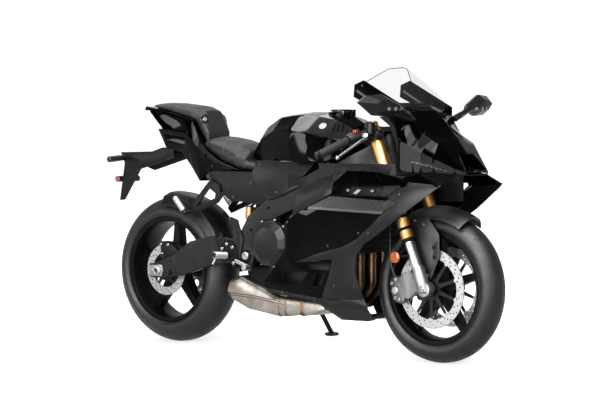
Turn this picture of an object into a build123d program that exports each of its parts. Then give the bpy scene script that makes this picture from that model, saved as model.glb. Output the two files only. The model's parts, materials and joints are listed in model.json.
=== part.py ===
from build123d import *
import os
from math import acos, atan2, ceil, cos, degrees, pi, radians, sin, sqrt, tan

# A middleweight sport motorcycle, drawn upright and then leaned on to its side stand for storage.
# Upright frame, millimetres: origin on the ground under the rear axle, +X forward, +Y to the rider's
# left, +Z up. Side views are lists of (x, z). What comes in pairs is drawn on one side and mirrored.

# ---- driving dimensions -------------------------------------------------------------------------
WHEELBASE = 1420.0
FRONT_TYRE_R = 300.0        # 120/70-17
FRONT_TYRE_W = 120.0
REAR_TYRE_R = 315.0         # 180/55-17
REAR_TYRE_W = 180.0
FRONT_CROWN_R = 62.0        # radius of the tread across the tyre
REAR_CROWN_R = 96.0
RIM_SEAT_R = 216.0          # 17 inch bead seat
RIM_FLANGE_R = 228.0
RIM_WALL = 9.0
FRONT_RIM_W = 89.0          # 3.5 inch
REAR_RIM_W = 140.0          # 5.5 inch
RIM_FLANGE_T = 6.0

RAKE = 22.58                # degrees
YOKE_OFFSET = 24.0          # fork tubes ahead of the steering axis
AXLE_LEAD = 28.4            # front axle ahead of the steering axis
FORK_HALF_SPREAD = 105.0
FORK_OUTER_R = 27.0
FORK_INNER_R = 21.5
FORK_OUTER_BOTTOM = 206.0   # heights along the fork, from the front axle
FORK_TOP = 712.0
CARRIER_TOP = 94.0
LOWER_CLAMP = (480.0, 514.0)
UPPER_CLAMP = (672.0, 694.0)
STEM_R = 17.0
STAND_BORE_R = 9.0          # the stem's lower end takes a front stand's pin
STAND_BORE_DEPTH = 30.0
HEAD_TUBE_R = 32.0

FRONT_AXLE_R = 12.5
FRONT_AXLE_BORE = 8.5       # both spindles are hollow
REAR_AXLE_R = 14.0
REAR_AXLE_BORE = 9.0
FRONT_DISC_R = 160.0
FRONT_DISC_Y = 64.0
REAR_DISC_R = 110.0
REAR_DISC_Y = 86.0
DISC_T = 5.0
SPOKES = 5
DRILL_R, DRILL_ROWS = 3.2, 3          # holes in the braking bands
ARM_ROOT, ARM_TIP, BUTTON_R = 9.0, 5.0, 8.0   # half widths of a disc carrier's arm, and its button

CHAIN_PITCH = 15.875
REAR_TEETH = 43
FRONT_TEETH = 16
SPROCKET_T = 7.0
TOOTH = ((0.0, 6.0), (0.3, 0.0), (0.5, 0.0), (0.8, 6.0))   # share of the pitch, depth below the tip
TOOTH_MIDDLE = 0.4
LINK_TALL, LINK_WAIST = 7.0, 5.0      # half heights of the chain at a pin and between pins
CHAIN_Y = 110.0
CHAIN_W = 20.0
PIVOT = (517.0, 398.0)      # swingarm pivot, side view
FRONT_SPROCKET = (592.0, 402.0)

LEAN = 10.0                 # degrees to the left, on the side stand
STEER_LOCK = 27.0
STAND_SWING = 100.0
LID_SWING = 95.0

PLAY = 0.3                  # between curved faces that fit each other
SEAM = 1.0                  # shut line between body panels
SKIN = 4.0                  # moulded panel thickness

FRONT_AXLE = Vector(WHEELBASE, 0, FRONT_TYRE_R)
REAR_AXLE = Vector(0, 0, REAR_TYRE_R)
ACROSS = Vector(0, 1, 0)

# The steering frame: its foot is the point of the steering axis abreast of the front axle.
STEER_UP = Vector(-sin(radians(RAKE)), 0, cos(radians(RAKE)))
STEER_AHEAD = Vector(cos(radians(RAKE)), 0, sin(radians(RAKE)))
STEER_FOOT = FRONT_AXLE - STEER_AHEAD * AXLE_LEAD


def fork_point(height, ahead=YOKE_OFFSET, side=0.0):
    """A point given along, ahead of and beside the steering axis."""
    return STEER_FOOT + STEER_UP * height + STEER_AHEAD * ahead + ACROSS * side


# ---- shape helpers ------------------------------------------------------------------------------
def side_face(outline, y=0.0):
    """The face whose side view is a closed outline of (x, z) points."""
    return make_face(Polyline(*[(x, y, z) for x, z in outline], close=True))


def slab(outline, y0, y1):
    """A plate with a given side view, from y0 to y1."""
    return extrude(side_face(outline, y0), amount=y1 - y0, dir=(0, 1, 0))


def rod(start, end, radius):
    start, end = Vector(*start), Vector(*end)
    plane = Plane(origin=start, z_dir=end - start)
    return extrude(plane * Circle(radius), amount=(end - start).length)


def pipe(start, end, outer, inner):
    start, end = Vector(*start), Vector(*end)
    plane = Plane(origin=start, z_dir=end - start)
    return extrude(plane * (Circle(outer) - Circle(inner)), amount=(end - start).length)


def bent_rod(points, bend, radius, bore=0.0):
    """A round bar, or a tube with a bore, along straight runs joined by arcs."""
    path = FilletPolyline(*points, radius=bend)
    start = Plane(origin=path @ 0, z_dir=path % 0)
    section = Circle(radius) - Circle(bore) if bore else Circle(radius)
    return sweep(start * section, path=path)


def ring(centre, y0, y1, outer, inner):
    """A disc or ring about an axis across the bike."""
    start = Vector(centre.X, y0, centre.Z)
    end = Vector(centre.X, y1, centre.Z)
    return pipe(start, end, outer, inner) if inner else rod(start, end, outer)


def turned(centre, profile):
    """A solid of revolution about an axis across the bike. profile is a list of (y, radius)."""
    face = make_face(Polyline(*[(centre.X, y, centre.Z + r) for y, r in profile], close=True))
    return revolve(face, axis=Axis((centre.X, 0, centre.Z), (0, 1, 0)))


def grown(outline, amount, y0, y1):
    """A plate whose side view is an outline set out by amount."""
    face = offset(Plane.XZ * make_face(Polyline(*outline, close=True)), amount=amount, kind=Kind.INTERSECTION)
    return extrude(Location((0, y0, 0)) * face, amount=y1 - y0, dir=(0, 1, 0))


def ruled(sections):
    """A solid through flat closed sections, each a list of (x, y, z), joined by straight lines."""
    faces = [make_face(Polyline(*points, close=True)) for points in sections]
    return loft(faces, ruled=True)


def both(solid):
    """The solid and its mirror image on the other side."""
    return [solid, mirror(solid, about=Plane.XZ)]


def half_section(x, half):
    """A closed section across the bike at x from the (y, z) points of its left half, top to bottom."""
    return [(x, -y, z) for y, z in half if y > 0] + [(x, y, z) for y, z in reversed(half)]


def merged(*solids):
    result = solids[0]
    for solid in solids[1:]:
        result = result + solid
    return result


# ---- wheels -------------------------------------------------------------------------------------
CROWN_ANGLES = (20, 42, 66)   # degrees round the tread where its flats meet


def tyre(centre, radius, crown, half_width, rim_half):
    """A closed ring whose tread is flats on the crown arc. The flat next to the middle is level at LEAN."""
    inside = rim_half + RIM_FLANGE_T + PLAY
    flange = RIM_FLANGE_R + PLAY
    seat = RIM_SEAT_R + PLAY
    bulge_r = radius - crown
    side = [(crown * sin(radians(a)), bulge_r + crown * cos(radians(a))) for a in CROWN_ANGLES]
    side += [(half_width, bulge_r + crown * 0.10), (half_width * 0.97, flange + 14), (inside, flange)]
    side += [(rim_half - PLAY, flange), (rim_half - PLAY, seat)]
    profile = [(-y, r) for y, r in reversed(side)] + [(0, radius)] + side
    return turned(centre, profile)


def rim(centre, rim_half):
    flange = rim_half + RIM_FLANGE_T
    inner = RIM_SEAT_R - RIM_WALL
    profile = [
        (-flange, RIM_FLANGE_R), (-rim_half, RIM_FLANGE_R), (-rim_half, RIM_SEAT_R),
        (rim_half, RIM_SEAT_R), (rim_half, RIM_FLANGE_R), (flange, RIM_FLANGE_R),
        (flange, inner + 3), (rim_half * 0.6, inner - 6), (-rim_half * 0.6, inner - 6), (-flange, inner + 3),
    ]
    return turned(centre, profile)


def polar(centre, radius, angle, aside=0.0):
    """The (x, z) point at a radius and an angle from a centre, set aside across that direction."""
    c, s = cos(radians(angle)), sin(radians(angle))
    return (centre.X + radius * c - aside * s, centre.Z + radius * s + aside * c)


def in_space(side_point, y=0.0):
    return (side_point[0], y, side_point[1])


def spoke(centre, angle, hub_r, hub_half, rim_half, root, tip):
    """One tapered spoke, thick at the hub."""
    out = Vector(cos(radians(angle)), 0, sin(radians(angle)))
    along = Vector(-sin(radians(angle)), 0, cos(radians(angle)))
    sections = []
    for r, width, half in ((hub_r, root, hub_half), (RIM_SEAT_R - RIM_WALL - 2, tip, rim_half)):
        middle = centre + out * r
        corners = [middle + along * (s * width / 2) + ACROSS * (t * half)
                   for s, t in ((-1, -1), (1, -1), (1, 1), (-1, 1))]
        sections.append([(c.X, c.Y, c.Z) for c in corners])
    return ruled(sections)


def wheel(centre, rim_half, hub_r, hub_ends, bore, first_angle, spoke_half):
    body = merged(rim(centre, rim_half), ring(centre, hub_ends[0], hub_ends[1], hub_r, 0))
    for i in range(SPOKES):
        angle = first_angle + i * 360 / SPOKES
        body += spoke(centre, angle, hub_r * 0.6, spoke_half, spoke_half * 0.7, 46, 26)
    return body - ring(centre, hub_ends[0] - 1, hub_ends[1] + 1, bore, 0)


def brake_disc(centre, y, outer, band, hub_r, bore, arms, columns):
    """A drilled braking band, held by a button at the tip of each arm of its carrier."""
    inner = outer - band
    y0, y1 = y - DISC_T / 2, y + DISC_T / 2
    body = ring(centre, y0, y1, outer, inner) + ring(centre, y0, y1, hub_r, bore)
    for i in range(arms):
        angle = 90 + i * 360 / arms
        corners = [polar(centre, r, angle, w) for r, w in
                   ((hub_r - 4, -ARM_ROOT), (inner - 2, -ARM_TIP), (inner - 2, ARM_TIP), (hub_r - 4, ARM_ROOT))]
        tip = Vector(*in_space(polar(centre, inner, angle)))
        body += slab(corners, y0, y1) + ring(tip, y0 - 1, y1 + 1, BUTTON_R, 0)
    drills = []
    for i in range(columns):
        for row in range(DRILL_ROWS):
            at = polar(centre, inner + band * (row + 0.75) / (DRILL_ROWS + 0.35), (i + row / DRILL_ROWS) * 360 / columns)
            drills.append(ring(Vector(*in_space(at)), y0 - 1, y1 + 1, DRILL_R, 0))
    return body - drills


FRONT_HUB_HALF = FRONT_DISC_Y - DISC_T / 2
REAR_HUB = (-(REAR_DISC_Y - DISC_T / 2), CHAIN_Y - 3.5)


def front_tyre():
    return [tyre(FRONT_AXLE, FRONT_TYRE_R, FRONT_CROWN_R, FRONT_TYRE_W / 2, FRONT_RIM_W / 2)]


def front_wheel():
    return [wheel(FRONT_AXLE, FRONT_RIM_W / 2, 34, (-FRONT_HUB_HALF, FRONT_HUB_HALF),
                  FRONT_AXLE_R + PLAY, 90, 22)]


def front_discs():
    return both(brake_disc(FRONT_AXLE, -FRONT_DISC_Y, FRONT_DISC_R, 36, 44, 24, 10, 24))


def rear_tyre():
    return [tyre(REAR_AXLE, REAR_TYRE_R, REAR_CROWN_R, REAR_TYRE_W / 2, REAR_RIM_W / 2)]


def rear_wheel():
    return [wheel(REAR_AXLE, REAR_RIM_W / 2, 42, REAR_HUB, REAR_AXLE_R + PLAY, 90, 30)]


def rear_disc():
    return [brake_disc(REAR_AXLE, -REAR_DISC_Y, REAR_DISC_R, 34, 48, 24, 5, 16)]


def pitch_radius(teeth):
    return CHAIN_PITCH / (2 * sin(pi / teeth))


def toothed(centre, teeth, tip, first_angle):
    """A sprocket's plate: each tooth is a flank up, a tip and a flank down to a short root."""
    step = 360 / teeth
    outline = [polar(centre, tip - depth, first_angle + (i + share) * step)
               for i in range(teeth) for share, depth in TOOTH]
    return slab(outline, CHAIN_Y - SPROCKET_T / 2, CHAIN_Y + SPROCKET_T / 2)


def rear_sprocket():
    body = toothed(REAR_AXLE, REAR_TEETH, pitch_radius(REAR_TEETH) - LINK_TALL - PLAY, 0)
    holes = [ring(REAR_AXLE, CHAIN_Y - SPROCKET_T, CHAIN_Y + SPROCKET_T, 30, 0)]
    for i in range(SPOKES):
        at = polar(REAR_AXLE, 68, 54 + i * 360 / SPOKES)
        holes.append(ring(Vector(*in_space(at)), CHAIN_Y - SPROCKET_T, CHAIN_Y + SPROCKET_T, 15, 0))
    return [body - holes]


# ---- steering -----------------------------------------------------------------------------------
def fork_outer_tubes():
    leg = pipe(fork_point(FORK_OUTER_BOTTOM, side=-FORK_HALF_SPREAD),
               fork_point(FORK_TOP, side=-FORK_HALF_SPREAD), FORK_OUTER_R, FORK_INNER_R + PLAY)
    cap = rod(fork_point(FORK_TOP - 16, side=-FORK_HALF_SPREAD),
              fork_point(FORK_TOP + 4, side=-FORK_HALF_SPREAD), FORK_INNER_R + PLAY)
    return both(leg + cap)


def fork_inner_tubes():
    return both(rod(fork_point(CARRIER_TOP - 40, side=-FORK_HALF_SPREAD),
                    fork_point(FORK_OUTER_BOTTOM + 120, side=-FORK_HALF_SPREAD), FORK_INNER_R))


CARRIER_R = 26.0
CARRIER_INNER = FORK_HALF_SPREAD - 21.0
CARRIER_OUTER = FORK_HALF_SPREAD + 17.0
CHEEK_IN, CHEEK_OUT = 72.0, 76.0                 # the fender's cheek plates
FENDER_BOSSES = [(1395, 378), (1412, 352)]       # where the fork feet carry them


def axle_carriers():
    """Cast feet of the fork, with the axle clamp and the two lugs that carry the caliper."""
    leg = rod(fork_point(-12, side=-FORK_HALF_SPREAD), fork_point(CARRIER_TOP, side=-FORK_HALF_SPREAD), CARRIER_R)
    clamp = ring(FRONT_AXLE, -CARRIER_OUTER, -CARRIER_INNER, 30, 0)
    lugs = slab([side_of(fork_point(h, a)) for h, a in
                 ((10, 0), (-8, -62), (8, -88), (88, -78), (94, -30), (80, 0))],
                -CARRIER_OUTER + 10, -CARRIER_INNER)
    body = merged(leg, clamp, lugs)
    body -= ring(FRONT_AXLE, -CARRIER_OUTER - CARRIER_R, -CARRIER_INNER + CARRIER_R, FRONT_AXLE_R + PLAY, 0)
    body -= ring(FRONT_AXLE, -CARRIER_INNER, -CARRIER_INNER + CARRIER_R, CARRIER_R, 0)
    for x, z in FENDER_BOSSES:
        body += ring(Vector(x, 0, z), -CARRIER_INNER - 6, -CHEEK_OUT - PLAY, 7, 0)
    body -= rod(fork_point(CARRIER_TOP - 41, side=-FORK_HALF_SPREAD),
                fork_point(CARRIER_TOP + 1, side=-FORK_HALF_SPREAD), FORK_INNER_R + PLAY)
    return both(body)


def side_of(point):
    return (point.X, point.Z)


def front_axle():
    body = ring(FRONT_AXLE, -CARRIER_OUTER - 6, CARRIER_OUTER + 6, FRONT_AXLE_R, 0)
    spacer = ring(FRONT_AXLE, FRONT_HUB_HALF + PLAY + 0.5, CARRIER_INNER - PLAY, FRONT_AXLE_R + 6, 0)
    return [merged(body, *both(spacer)) - ring(FRONT_AXLE, -200, 200, FRONT_AXLE_BORE, 0)]


def clamp_plate(low, high, half_width, depth):
    """A triple clamp: a waisted plate between the fork tubes. Its outline is (right, ahead) points."""
    plane = Plane(origin=fork_point(low, 0), x_dir=(0, -1, 0), z_dir=STEER_UP)
    ahead, waist = YOKE_OFFSET, 60
    outline = Polyline(
        (-half_width, ahead - depth), (-waist, -depth * 0.8), (waist, -depth * 0.8), (half_width, ahead - depth),
        (half_width, ahead + depth), (waist, ahead + depth * 0.35), (-waist, ahead + depth * 0.35),
        (-half_width, ahead + depth), close=True)
    body = extrude(plane * make_face(outline), amount=high - low)
    for side in (-1, 1):
        body -= rod(fork_point(low - 1, side=side * FORK_HALF_SPREAD),
                    fork_point(high + 1, side=side * FORK_HALF_SPREAD), FORK_OUTER_R + PLAY)
    return body


CLAMP_HALF = FORK_HALF_SPREAD + FORK_OUTER_R + 5


def upper_clamp():
    body = clamp_plate(UPPER_CLAMP[0], UPPER_CLAMP[1], CLAMP_HALF, 36)
    return [body - rod(fork_point(UPPER_CLAMP[0] - 1, 0), fork_point(UPPER_CLAMP[1] + 1, 0), STEM_R + PLAY)]


def lower_clamp():
    body = clamp_plate(LOWER_CLAMP[0], LOWER_CLAMP[1], CLAMP_HALF, 36)
    body += rod(fork_point(LOWER_CLAMP[0], 0), fork_point(UPPER_CLAMP[1] + 6, 0), STEM_R)
    return [body - rod(fork_point(LOWER_CLAMP[0] - 1, 0), fork_point(LOWER_CLAMP[0] + STAND_BORE_DEPTH, 0), STAND_BORE_R)]


CLIP_GAP, CLIP_TALL = 4.0, 32.0     # the handlebars' clips, below the upper clamp
CLIP_TOP = UPPER_CLAMP[0] - CLIP_GAP
BAR_INNER = (1163.0, 146.0, 927.0)
BAR_OUTER = (1073.0, 354.0, 831.0)
BAR_R = 11.0
BAR_ROOT = 0.1              # where the bar starts, as a share of the line from BAR_INNER to BAR_OUTER
GRIP_R = 17.0


def along_bar(t, side=-1):
    """A point on the handlebar, t from 0 at the clamp to 1 at its end."""
    a, b = Vector(*BAR_INNER), Vector(*BAR_OUTER)
    point = a + (b - a) * t
    return Vector(point.X, side * point.Y, point.Z)


def bar_riser(grow):
    """The arm from the fork clamp up to the handlebar's inner end."""
    return rod(fork_point(CLIP_TOP - CLIP_TALL + 6, YOKE_OFFSET + 6, -FORK_HALF_SPREAD - 22), along_bar(BAR_ROOT), 12 + grow)


def handlebars():
    side = -FORK_HALF_SPREAD
    body = rod(fork_point(CLIP_TOP - CLIP_TALL, side=side), fork_point(CLIP_TOP, side=side), FORK_OUTER_R + 9)
    body = merged(body, bar_riser(0), rod(along_bar(BAR_ROOT), along_bar(1), BAR_R), rod(along_bar(0.992), along_bar(1.05), GRIP_R - 2))
    body -= rod(fork_point(CLIP_TOP - CLIP_TALL - 60, side=side), fork_point(FORK_TOP + 20, side=side),
                FORK_OUTER_R + PLAY)
    return both(body)


def grips():
    return both(pipe(along_bar(0.42), along_bar(0.985), GRIP_R, BAR_R + PLAY))


def hand_controls():
    """Switch housing, master cylinder with its pot, and the lever with its ball end, as one piece a side."""
    housing = pipe(along_bar(0.18), along_bar(0.41), 24, BAR_R + PLAY)
    pivot = along_bar(0.13) + Vector(34, 0, -4)
    perch = rod(along_bar(0.22) + Vector(20, 0, 0), pivot + Vector(10, -12, 0), 12)
    pot = rod(pivot + Vector(4, 8, 4), pivot + Vector(0, 8, 46), 19)
    lever = bent_rod([pivot + Vector(6, -6, -4), along_bar(0.42) + Vector(62, 0, -2),
                      along_bar(0.99) + Vector(92, 4, -10)], 30, 6)
    ball = Location(along_bar(0.99) + Vector(92, 4, -10)) * Sphere(9)
    body = merged(housing, perch, pot, lever, ball)
    body -= rod(along_bar(0), along_bar(1), BAR_R + PLAY)
    return both(body - bar_riser(PLAY))


def front_calipers():
    """Radial four-piston calipers astride the discs."""
    outline = [side_of(fork_point(h, a)) for h, a in
               ((-4, -90), (-10, -112), (6, -136), (58, -142), (98, -124), (104, -100), (88.4, -78.4), (8, -88.4))]
    body = slab(outline, -FRONT_DISC_Y - 38, -FRONT_DISC_Y + 17)
    body -= ring(FRONT_AXLE, -FRONT_DISC_Y - DISC_T / 2 - 2, -FRONT_DISC_Y + DISC_T / 2 + 2, FRONT_DISC_R + 3, 0)
    body -= ring(FRONT_AXLE, -FRONT_DISC_Y + DISC_T / 2, -FRONT_DISC_Y + 60, 108, 0)
    return both(body)


FENDER_R = FRONT_TYRE_R + 18.0
FENDER_ANGLES = (60.0, 128.0)


def front_fender():
    """An arched blade over the tyre with a flat cheek down inside each fork leg."""
    half = [(0, 14), (34, 6), (58, -12), (CHEEK_OUT, -38)]   # (y, rise) across the crown
    outer = [(y, FENDER_R + z) for y, z in half]
    inner = [(max(y - 3, 0), r - 3.5) for y, r in outer]
    profile = [(-y, r) for y, r in reversed(outer)] + outer[1:] + list(reversed(inner)) + [(-y, r) for y, r in inner[1:]]
    face = make_face(Polyline(*[(FRONT_AXLE.X, y, FRONT_AXLE.Z + r) for y, r in profile], close=True))
    axis = Axis((FRONT_AXLE.X, 0, FRONT_AXLE.Z), (0, -1, 0))
    span = FENDER_ANGLES[1] - FENDER_ANGLES[0]
    blade = revolve(face, axis=axis, revolution_arc=span).rotate(axis, FENDER_ANGLES[0] - 90)
    cheek = slab([(1318, 556), (1330, 592), (1404, 590), (1464, 517), (1466, 430), (1452, 400), (1422, 336), (1398, 340)], -CHEEK_OUT, -CHEEK_IN)
    for x, z in ((1438, 465), (1440, 428)):
        cheek -= ring(Vector(x, 0, z), -CHEEK_OUT - 1, -CHEEK_IN + 1, 8, 0)
    return [merged(blade, *both(cheek))]


# ---- frame, swingarm and rear suspension ---------------------------------------------------------
def beam(rows):
    """A box beam down one side. rows: x, z of its middle line, depth across that line, y inside, y outside."""
    sections = []
    for i, (x, z, depth, y_in, y_out) in enumerate(rows):
        before, after = rows[max(i - 1, 0)], rows[min(i + 1, len(rows) - 1)]
        run = Vector(after[0] - before[0], 0, after[1] - before[1]).normalized()
        up = Vector(-run.Z, 0, run.X) * (depth / 2)
        a, b = Vector(x, 0, z) + up, Vector(x, 0, z) - up
        sections.append([(a.X, y_in, a.Z), (a.X, y_out, a.Z), (b.X, y_out, b.Z), (b.X, y_in, b.Z)])
    return ruled(sections)


PLATE_IN, PLATE_OUT = 123.0, 150.0     # the frame's pivot plates
ARM_IN = REAR_TYRE_W / 2 + 8
HEAD_LOW, HEAD_HIGH = LOWER_CLAMP[1] + 0.5, UPPER_CLAMP[0] - 0.5
SPAR = [   # x, z, depth, y inside, y outside: from the steering head back and down to the pivot
    (1178, 838, 128, 10, 30), (1062, 772, 112, 92, 116), (905, 700, 92, 121, 147), (770, 642, 76, 125, 153),
    (650, 598, 84, 125, 153), (560, 535, 94, 124, 150), (514, 450, 108, PLATE_IN, PLATE_OUT),
    (512, 344, 62, PLATE_IN, PLATE_OUT),
]
PIVOT_R = 10.0
CROSS_TUBE = (535, 550)
TANK_REST = (940, 128, 799.8)         # the posts that carry the front of the tank
LUG_IN, LUG_OUT = 17.0, 25.0          # the pairs of lugs that hold the shock absorber's eyes
SHOCK_TOP = Vector(472, 0, 627)
SHOCK_FOOT = Vector(428, 0, 460)


def main_frame():
    body = pipe(fork_point(HEAD_LOW, 0), fork_point(HEAD_HIGH, 0), HEAD_TUBE_R, STEM_R + PLAY)
    for spar in both(beam(SPAR)):
        body += spar
    px, pz = PIVOT
    body += rod((CROSS_TUBE[0], -PLATE_IN - 5, CROSS_TUBE[1]), (CROSS_TUBE[0], PLATE_IN + 5, CROSS_TUBE[1]), 15)
    for side in (-1, 1):
        post = rod((TANK_REST[0], side * TANK_REST[1], TANK_REST[2] - 70),
                   (TANK_REST[0], side * TANK_REST[1], TANK_REST[2] - PLAY), 9)
        body += post
    for lug in both(slab([(548, 556), (524, 538), (508, 570), (502, 608), (462, 614), (460, 640), (490, 644)], -LUG_OUT, -LUG_IN)):
        body += lug
    body += rod((SHOCK_TOP.X, -LUG_OUT, SHOCK_TOP.Z), (SHOCK_TOP.X, LUG_OUT, SHOCK_TOP.Z), 6)
    body += rod((px, -PLATE_OUT - 6, pz), (px, PLATE_OUT + 6, pz), PIVOT_R)
    body += rod((px, -PLATE_OUT - 8, pz), (px, -PLATE_OUT + 1, pz), 19)
    body += rod((px, PLATE_OUT - 1, pz), (px, PLATE_OUT + 8, pz), 19)
    body -= rod(fork_point(HEAD_LOW - 200, 0), fork_point(HEAD_HIGH + 100, 0), STEM_R + PLAY)
    return [body]


BOBBIN = (62, 306)
BOBBIN_FACES = (139.1, 150.0)     # the right and left arms' outer faces there
BOBBIN_DEPTH = 14.0
BOBBIN_HOLE_R = 3.4               # M8
RIGHT_ARM = [(517, 398, 84, 62, 116), (440, 410, 92, 80, 116), (306, 414, 118, ARM_IN, 132),
             (203, 386, 126, ARM_IN, 136), (100, 338, 92, ARM_IN, 138), (0, 315, 66, ARM_IN, 140), (-48, 312, 58, ARM_IN, 140)]
LEFT_ARM = [(517, 398, 76, 62, 97), (440, 398, 80, 66, 97), (350, 375, 84, 74, 97),
            (245, 350, 88, 125, 148), (100, 328, 78, 126, 150), (0, 315, 66, 126, 150), (-48, 312, 58, 126, 150)]


def mirrored_row(row):
    x, z, depth, y_in, y_out = row
    return (x, z, depth, -y_in, -y_out)


def swingarm():
    body = beam([mirrored_row(row) for row in RIGHT_ARM]) + beam(LEFT_ARM)
    px, pz = PIVOT
    body += rod((px, -116, pz), (px, 97, pz), 32)
    body += slab([(452, 430), (372, 440), (362, 392), (384, 356), (440, 360)], -86, 78)
    for lug in both(slab([(404, 428), (448, 428), (440, 472), (416, 472)], -LUG_OUT, -LUG_IN)):
        body += lug
    body += rod((SHOCK_FOOT.X, -LUG_OUT, SHOCK_FOOT.Z), (SHOCK_FOOT.X, LUG_OUT, SHOCK_FOOT.Z), 6)
    body -= rod((px, -200, pz), (px, 200, pz), PIVOT_R + PLAY)
    body -= ring(REAR_AXLE, -200, 200, REAR_AXLE_R + PLAY, 0)
    return [body]


def stand_bosses():
    """Tapped bosses on the arms' outer faces, which take a rear stand's bobbins."""
    x, z = BOBBIN
    return [ring(Vector(x, 0, z), side * face, side * (face + BOBBIN_DEPTH), 12, BOBBIN_HOLE_R)
            for face, side in ((BOBBIN_FACES[0], -1), (BOBBIN_FACES[1], 1))]


def rear_axle():
    """The spindle, its spacers, nuts and the chain adjuster plates on the arm ends."""
    body = ring(REAR_AXLE, -156, 166, REAR_AXLE_R, 0)
    body += ring(REAR_AXLE, -ARM_IN + PLAY, -REAR_DISC_Y + DISC_T / 2 - 1.5, REAR_AXLE_R + 6, 0)
    body += ring(REAR_AXLE, CHAIN_Y - 3, 125.7, REAR_AXLE_R + 6, 0)
    plate = [(-44, 290), (-44, 336), (26, 340), (34, 315), (26, 290)]
    body += slab(plate, -145, -140.3) + slab(plate, 150.3, 155)
    body = merged(body, ring(REAR_AXLE, -153, -144, 22, 0), ring(REAR_AXLE, 154, 163, 22, 0))
    return [body - ring(REAR_AXLE, -200, 200, REAR_AXLE_BORE, 0)]


def arc_points(centre, radius, start, end, steps):
    return [(centre.X + radius * cos(radians(start + (end - start) * i / steps)),
             centre.Z + radius * sin(radians(start + (end - start) * i / steps))) for i in range(steps + 1)]


def rear_caliper():
    """The caliper over the disc and its plate down to the spindle."""
    outline = arc_points(REAR_AXLE, REAR_DISC_R + 14, 96, 40, 4) + arc_points(REAR_AXLE, REAR_DISC_R - 34, 40, 96, 4)
    y = -REAR_DISC_Y
    body = slab(outline, -ARM_IN - 14, y + 20)
    gap = DISC_T / 2 + 2
    body -= slab([(-60, 315), (160, 315), (160, 480), (-60, 480)], y - gap, y + gap) & ring(REAR_AXLE, y - gap, y + gap, REAR_DISC_R + 3, 0)
    bracket = slab([(-14, 315), (-10, 400), (60, 392), (40, 300)], -ARM_IN + 0.5, y - gap)
    bracket += ring(REAR_AXLE, -ARM_IN + 0.5, y - gap, 26, 0)
    body = body + bracket
    body -= beam([mirrored_row((x, z, depth + 2, y_in - 0.4, y_out + 20)) for x, z, depth, y_in, y_out in RIGHT_ARM])
    return [body - ring(REAR_AXLE, -200, 0, REAR_AXLE_R + 6 + PLAY, 0)]


def shock_absorber():
    """A coil-over unit between two eyes: the spring's turns are ridges on one turned body."""
    eye_r, eye_half, neck = 13.0, LUG_IN - 1, 24.0
    length = (SHOCK_TOP - SHOCK_FOOT).length
    turns, pitch = 6, 15.0
    profile = [(0, 0), (9, 0), (9, neck), (30, neck)]
    for i in range(turns):
        at = neck + 6 + i * pitch
        profile += [(24, at), (36, at + 4), (36, at + 9), (24, at + 13)]
    top = neck + 6 + turns * pitch
    profile += [(30, top), (30, top + 12), (22, top + 12), (22, length - neck), (9, length - neck), (9, length), (0, length)]
    plane = Plane(origin=SHOCK_FOOT, x_dir=(0, 1, 0), z_dir=SHOCK_TOP - SHOCK_FOOT)
    face = make_face(Polyline(*[(r, 0, h) for r, h in profile], close=True))
    body = plane * revolve(face, axis=Axis.Z)
    for eye in (SHOCK_FOOT, SHOCK_TOP):
        body += ring(eye, -eye_half, eye_half, eye_r, 0)
    for eye in (SHOCK_FOOT, SHOCK_TOP):
        body -= ring(eye, -40, 40, 6 + PLAY, 0)
    return [body]


def chain_path():
    """The pitch line's arcs and straight runs in order, each as (length, function from length to point and outward)."""
    rear, front = REAR_AXLE, Vector(FRONT_SPROCKET[0], 0, FRONT_SPROCKET[1])
    r1, r2 = pitch_radius(REAR_TEETH), pitch_radius(FRONT_TEETH)
    line = front - rear
    tilt, lead = atan2(line.Z, line.X), acos((r1 - r2) / line.length)

    def arc(centre, radius, start, sweep):
        def at(length):
            angle = start - length / radius
            outward = Vector(cos(angle), 0, sin(angle))
            return centre + outward * radius, outward
        return radius * sweep, at

    def run(start, end, outward):
        along = (end - start).normalized()
        return (end - start).length, lambda length: (start + along * length, outward)

    over = Vector(cos(tilt + lead), 0, sin(tilt + lead))
    under = Vector(cos(tilt - lead), 0, sin(tilt - lead))
    return [run(rear + over * r1, front + over * r2, over), arc(front, r2, tilt + lead, 2 * lead),
            run(front + under * r2, rear + under * r1, under), arc(rear, r1, tilt - lead, 2 * (pi - lead))]


def chain_links(path):
    """The loop's length and its number of links, which is even."""
    total = sum(length for length, _ in path)
    return total, 2 * round(total / CHAIN_PITCH / 2)


def chain_outline(side):
    """The chain's outer (side 1) or inner (side -1) edge: full at each pin and waisted between pins."""
    path = chain_path()
    total, links = chain_links(path)
    points = []
    for i in range(2 * links):
        left = total * i / (2 * links)
        for length, at in path:
            if left <= length:
                break
            left -= length
        point, outward = at(left)
        points.append(side_of(point + outward * side * (LINK_WAIST if i % 2 else LINK_TALL)))
    return points


def drive_chain():
    """The roller chain as one loop of links, and the gearbox sprocket inside it."""
    half = CHAIN_W / 2
    loop = slab(chain_outline(1), CHAIN_Y - half, CHAIN_Y + half)
    loop -= slab(chain_outline(-1), CHAIN_Y - half - 1, CHAIN_Y + half + 1)
    centre = Vector(FRONT_SPROCKET[0], 0, FRONT_SPROCKET[1])
    path = chain_path()
    total, links = chain_links(path)
    run, step = path[0][0], total / links
    pin, _ = path[1][1](ceil(run / step) * step - run)     # the first pin on the small sprocket
    between = degrees(atan2(pin.Z - centre.Z, pin.X - centre.X)) + (0.5 - TOOTH_MIDDLE) * 360 / FRONT_TEETH
    small = toothed(centre, FRONT_TEETH, pitch_radius(FRONT_TEETH) - LINK_WAIST - 3 * PLAY, between)
    return [loop, small - ring(centre, CHAIN_Y - 9, CHAIN_Y + 9, 12 + PLAY, 0)]


HUGGER = [(14, 320), (40, 316), (80, 300), (97.7, 262)]   # half width, radius from the spindle: sits over the tyre


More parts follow.
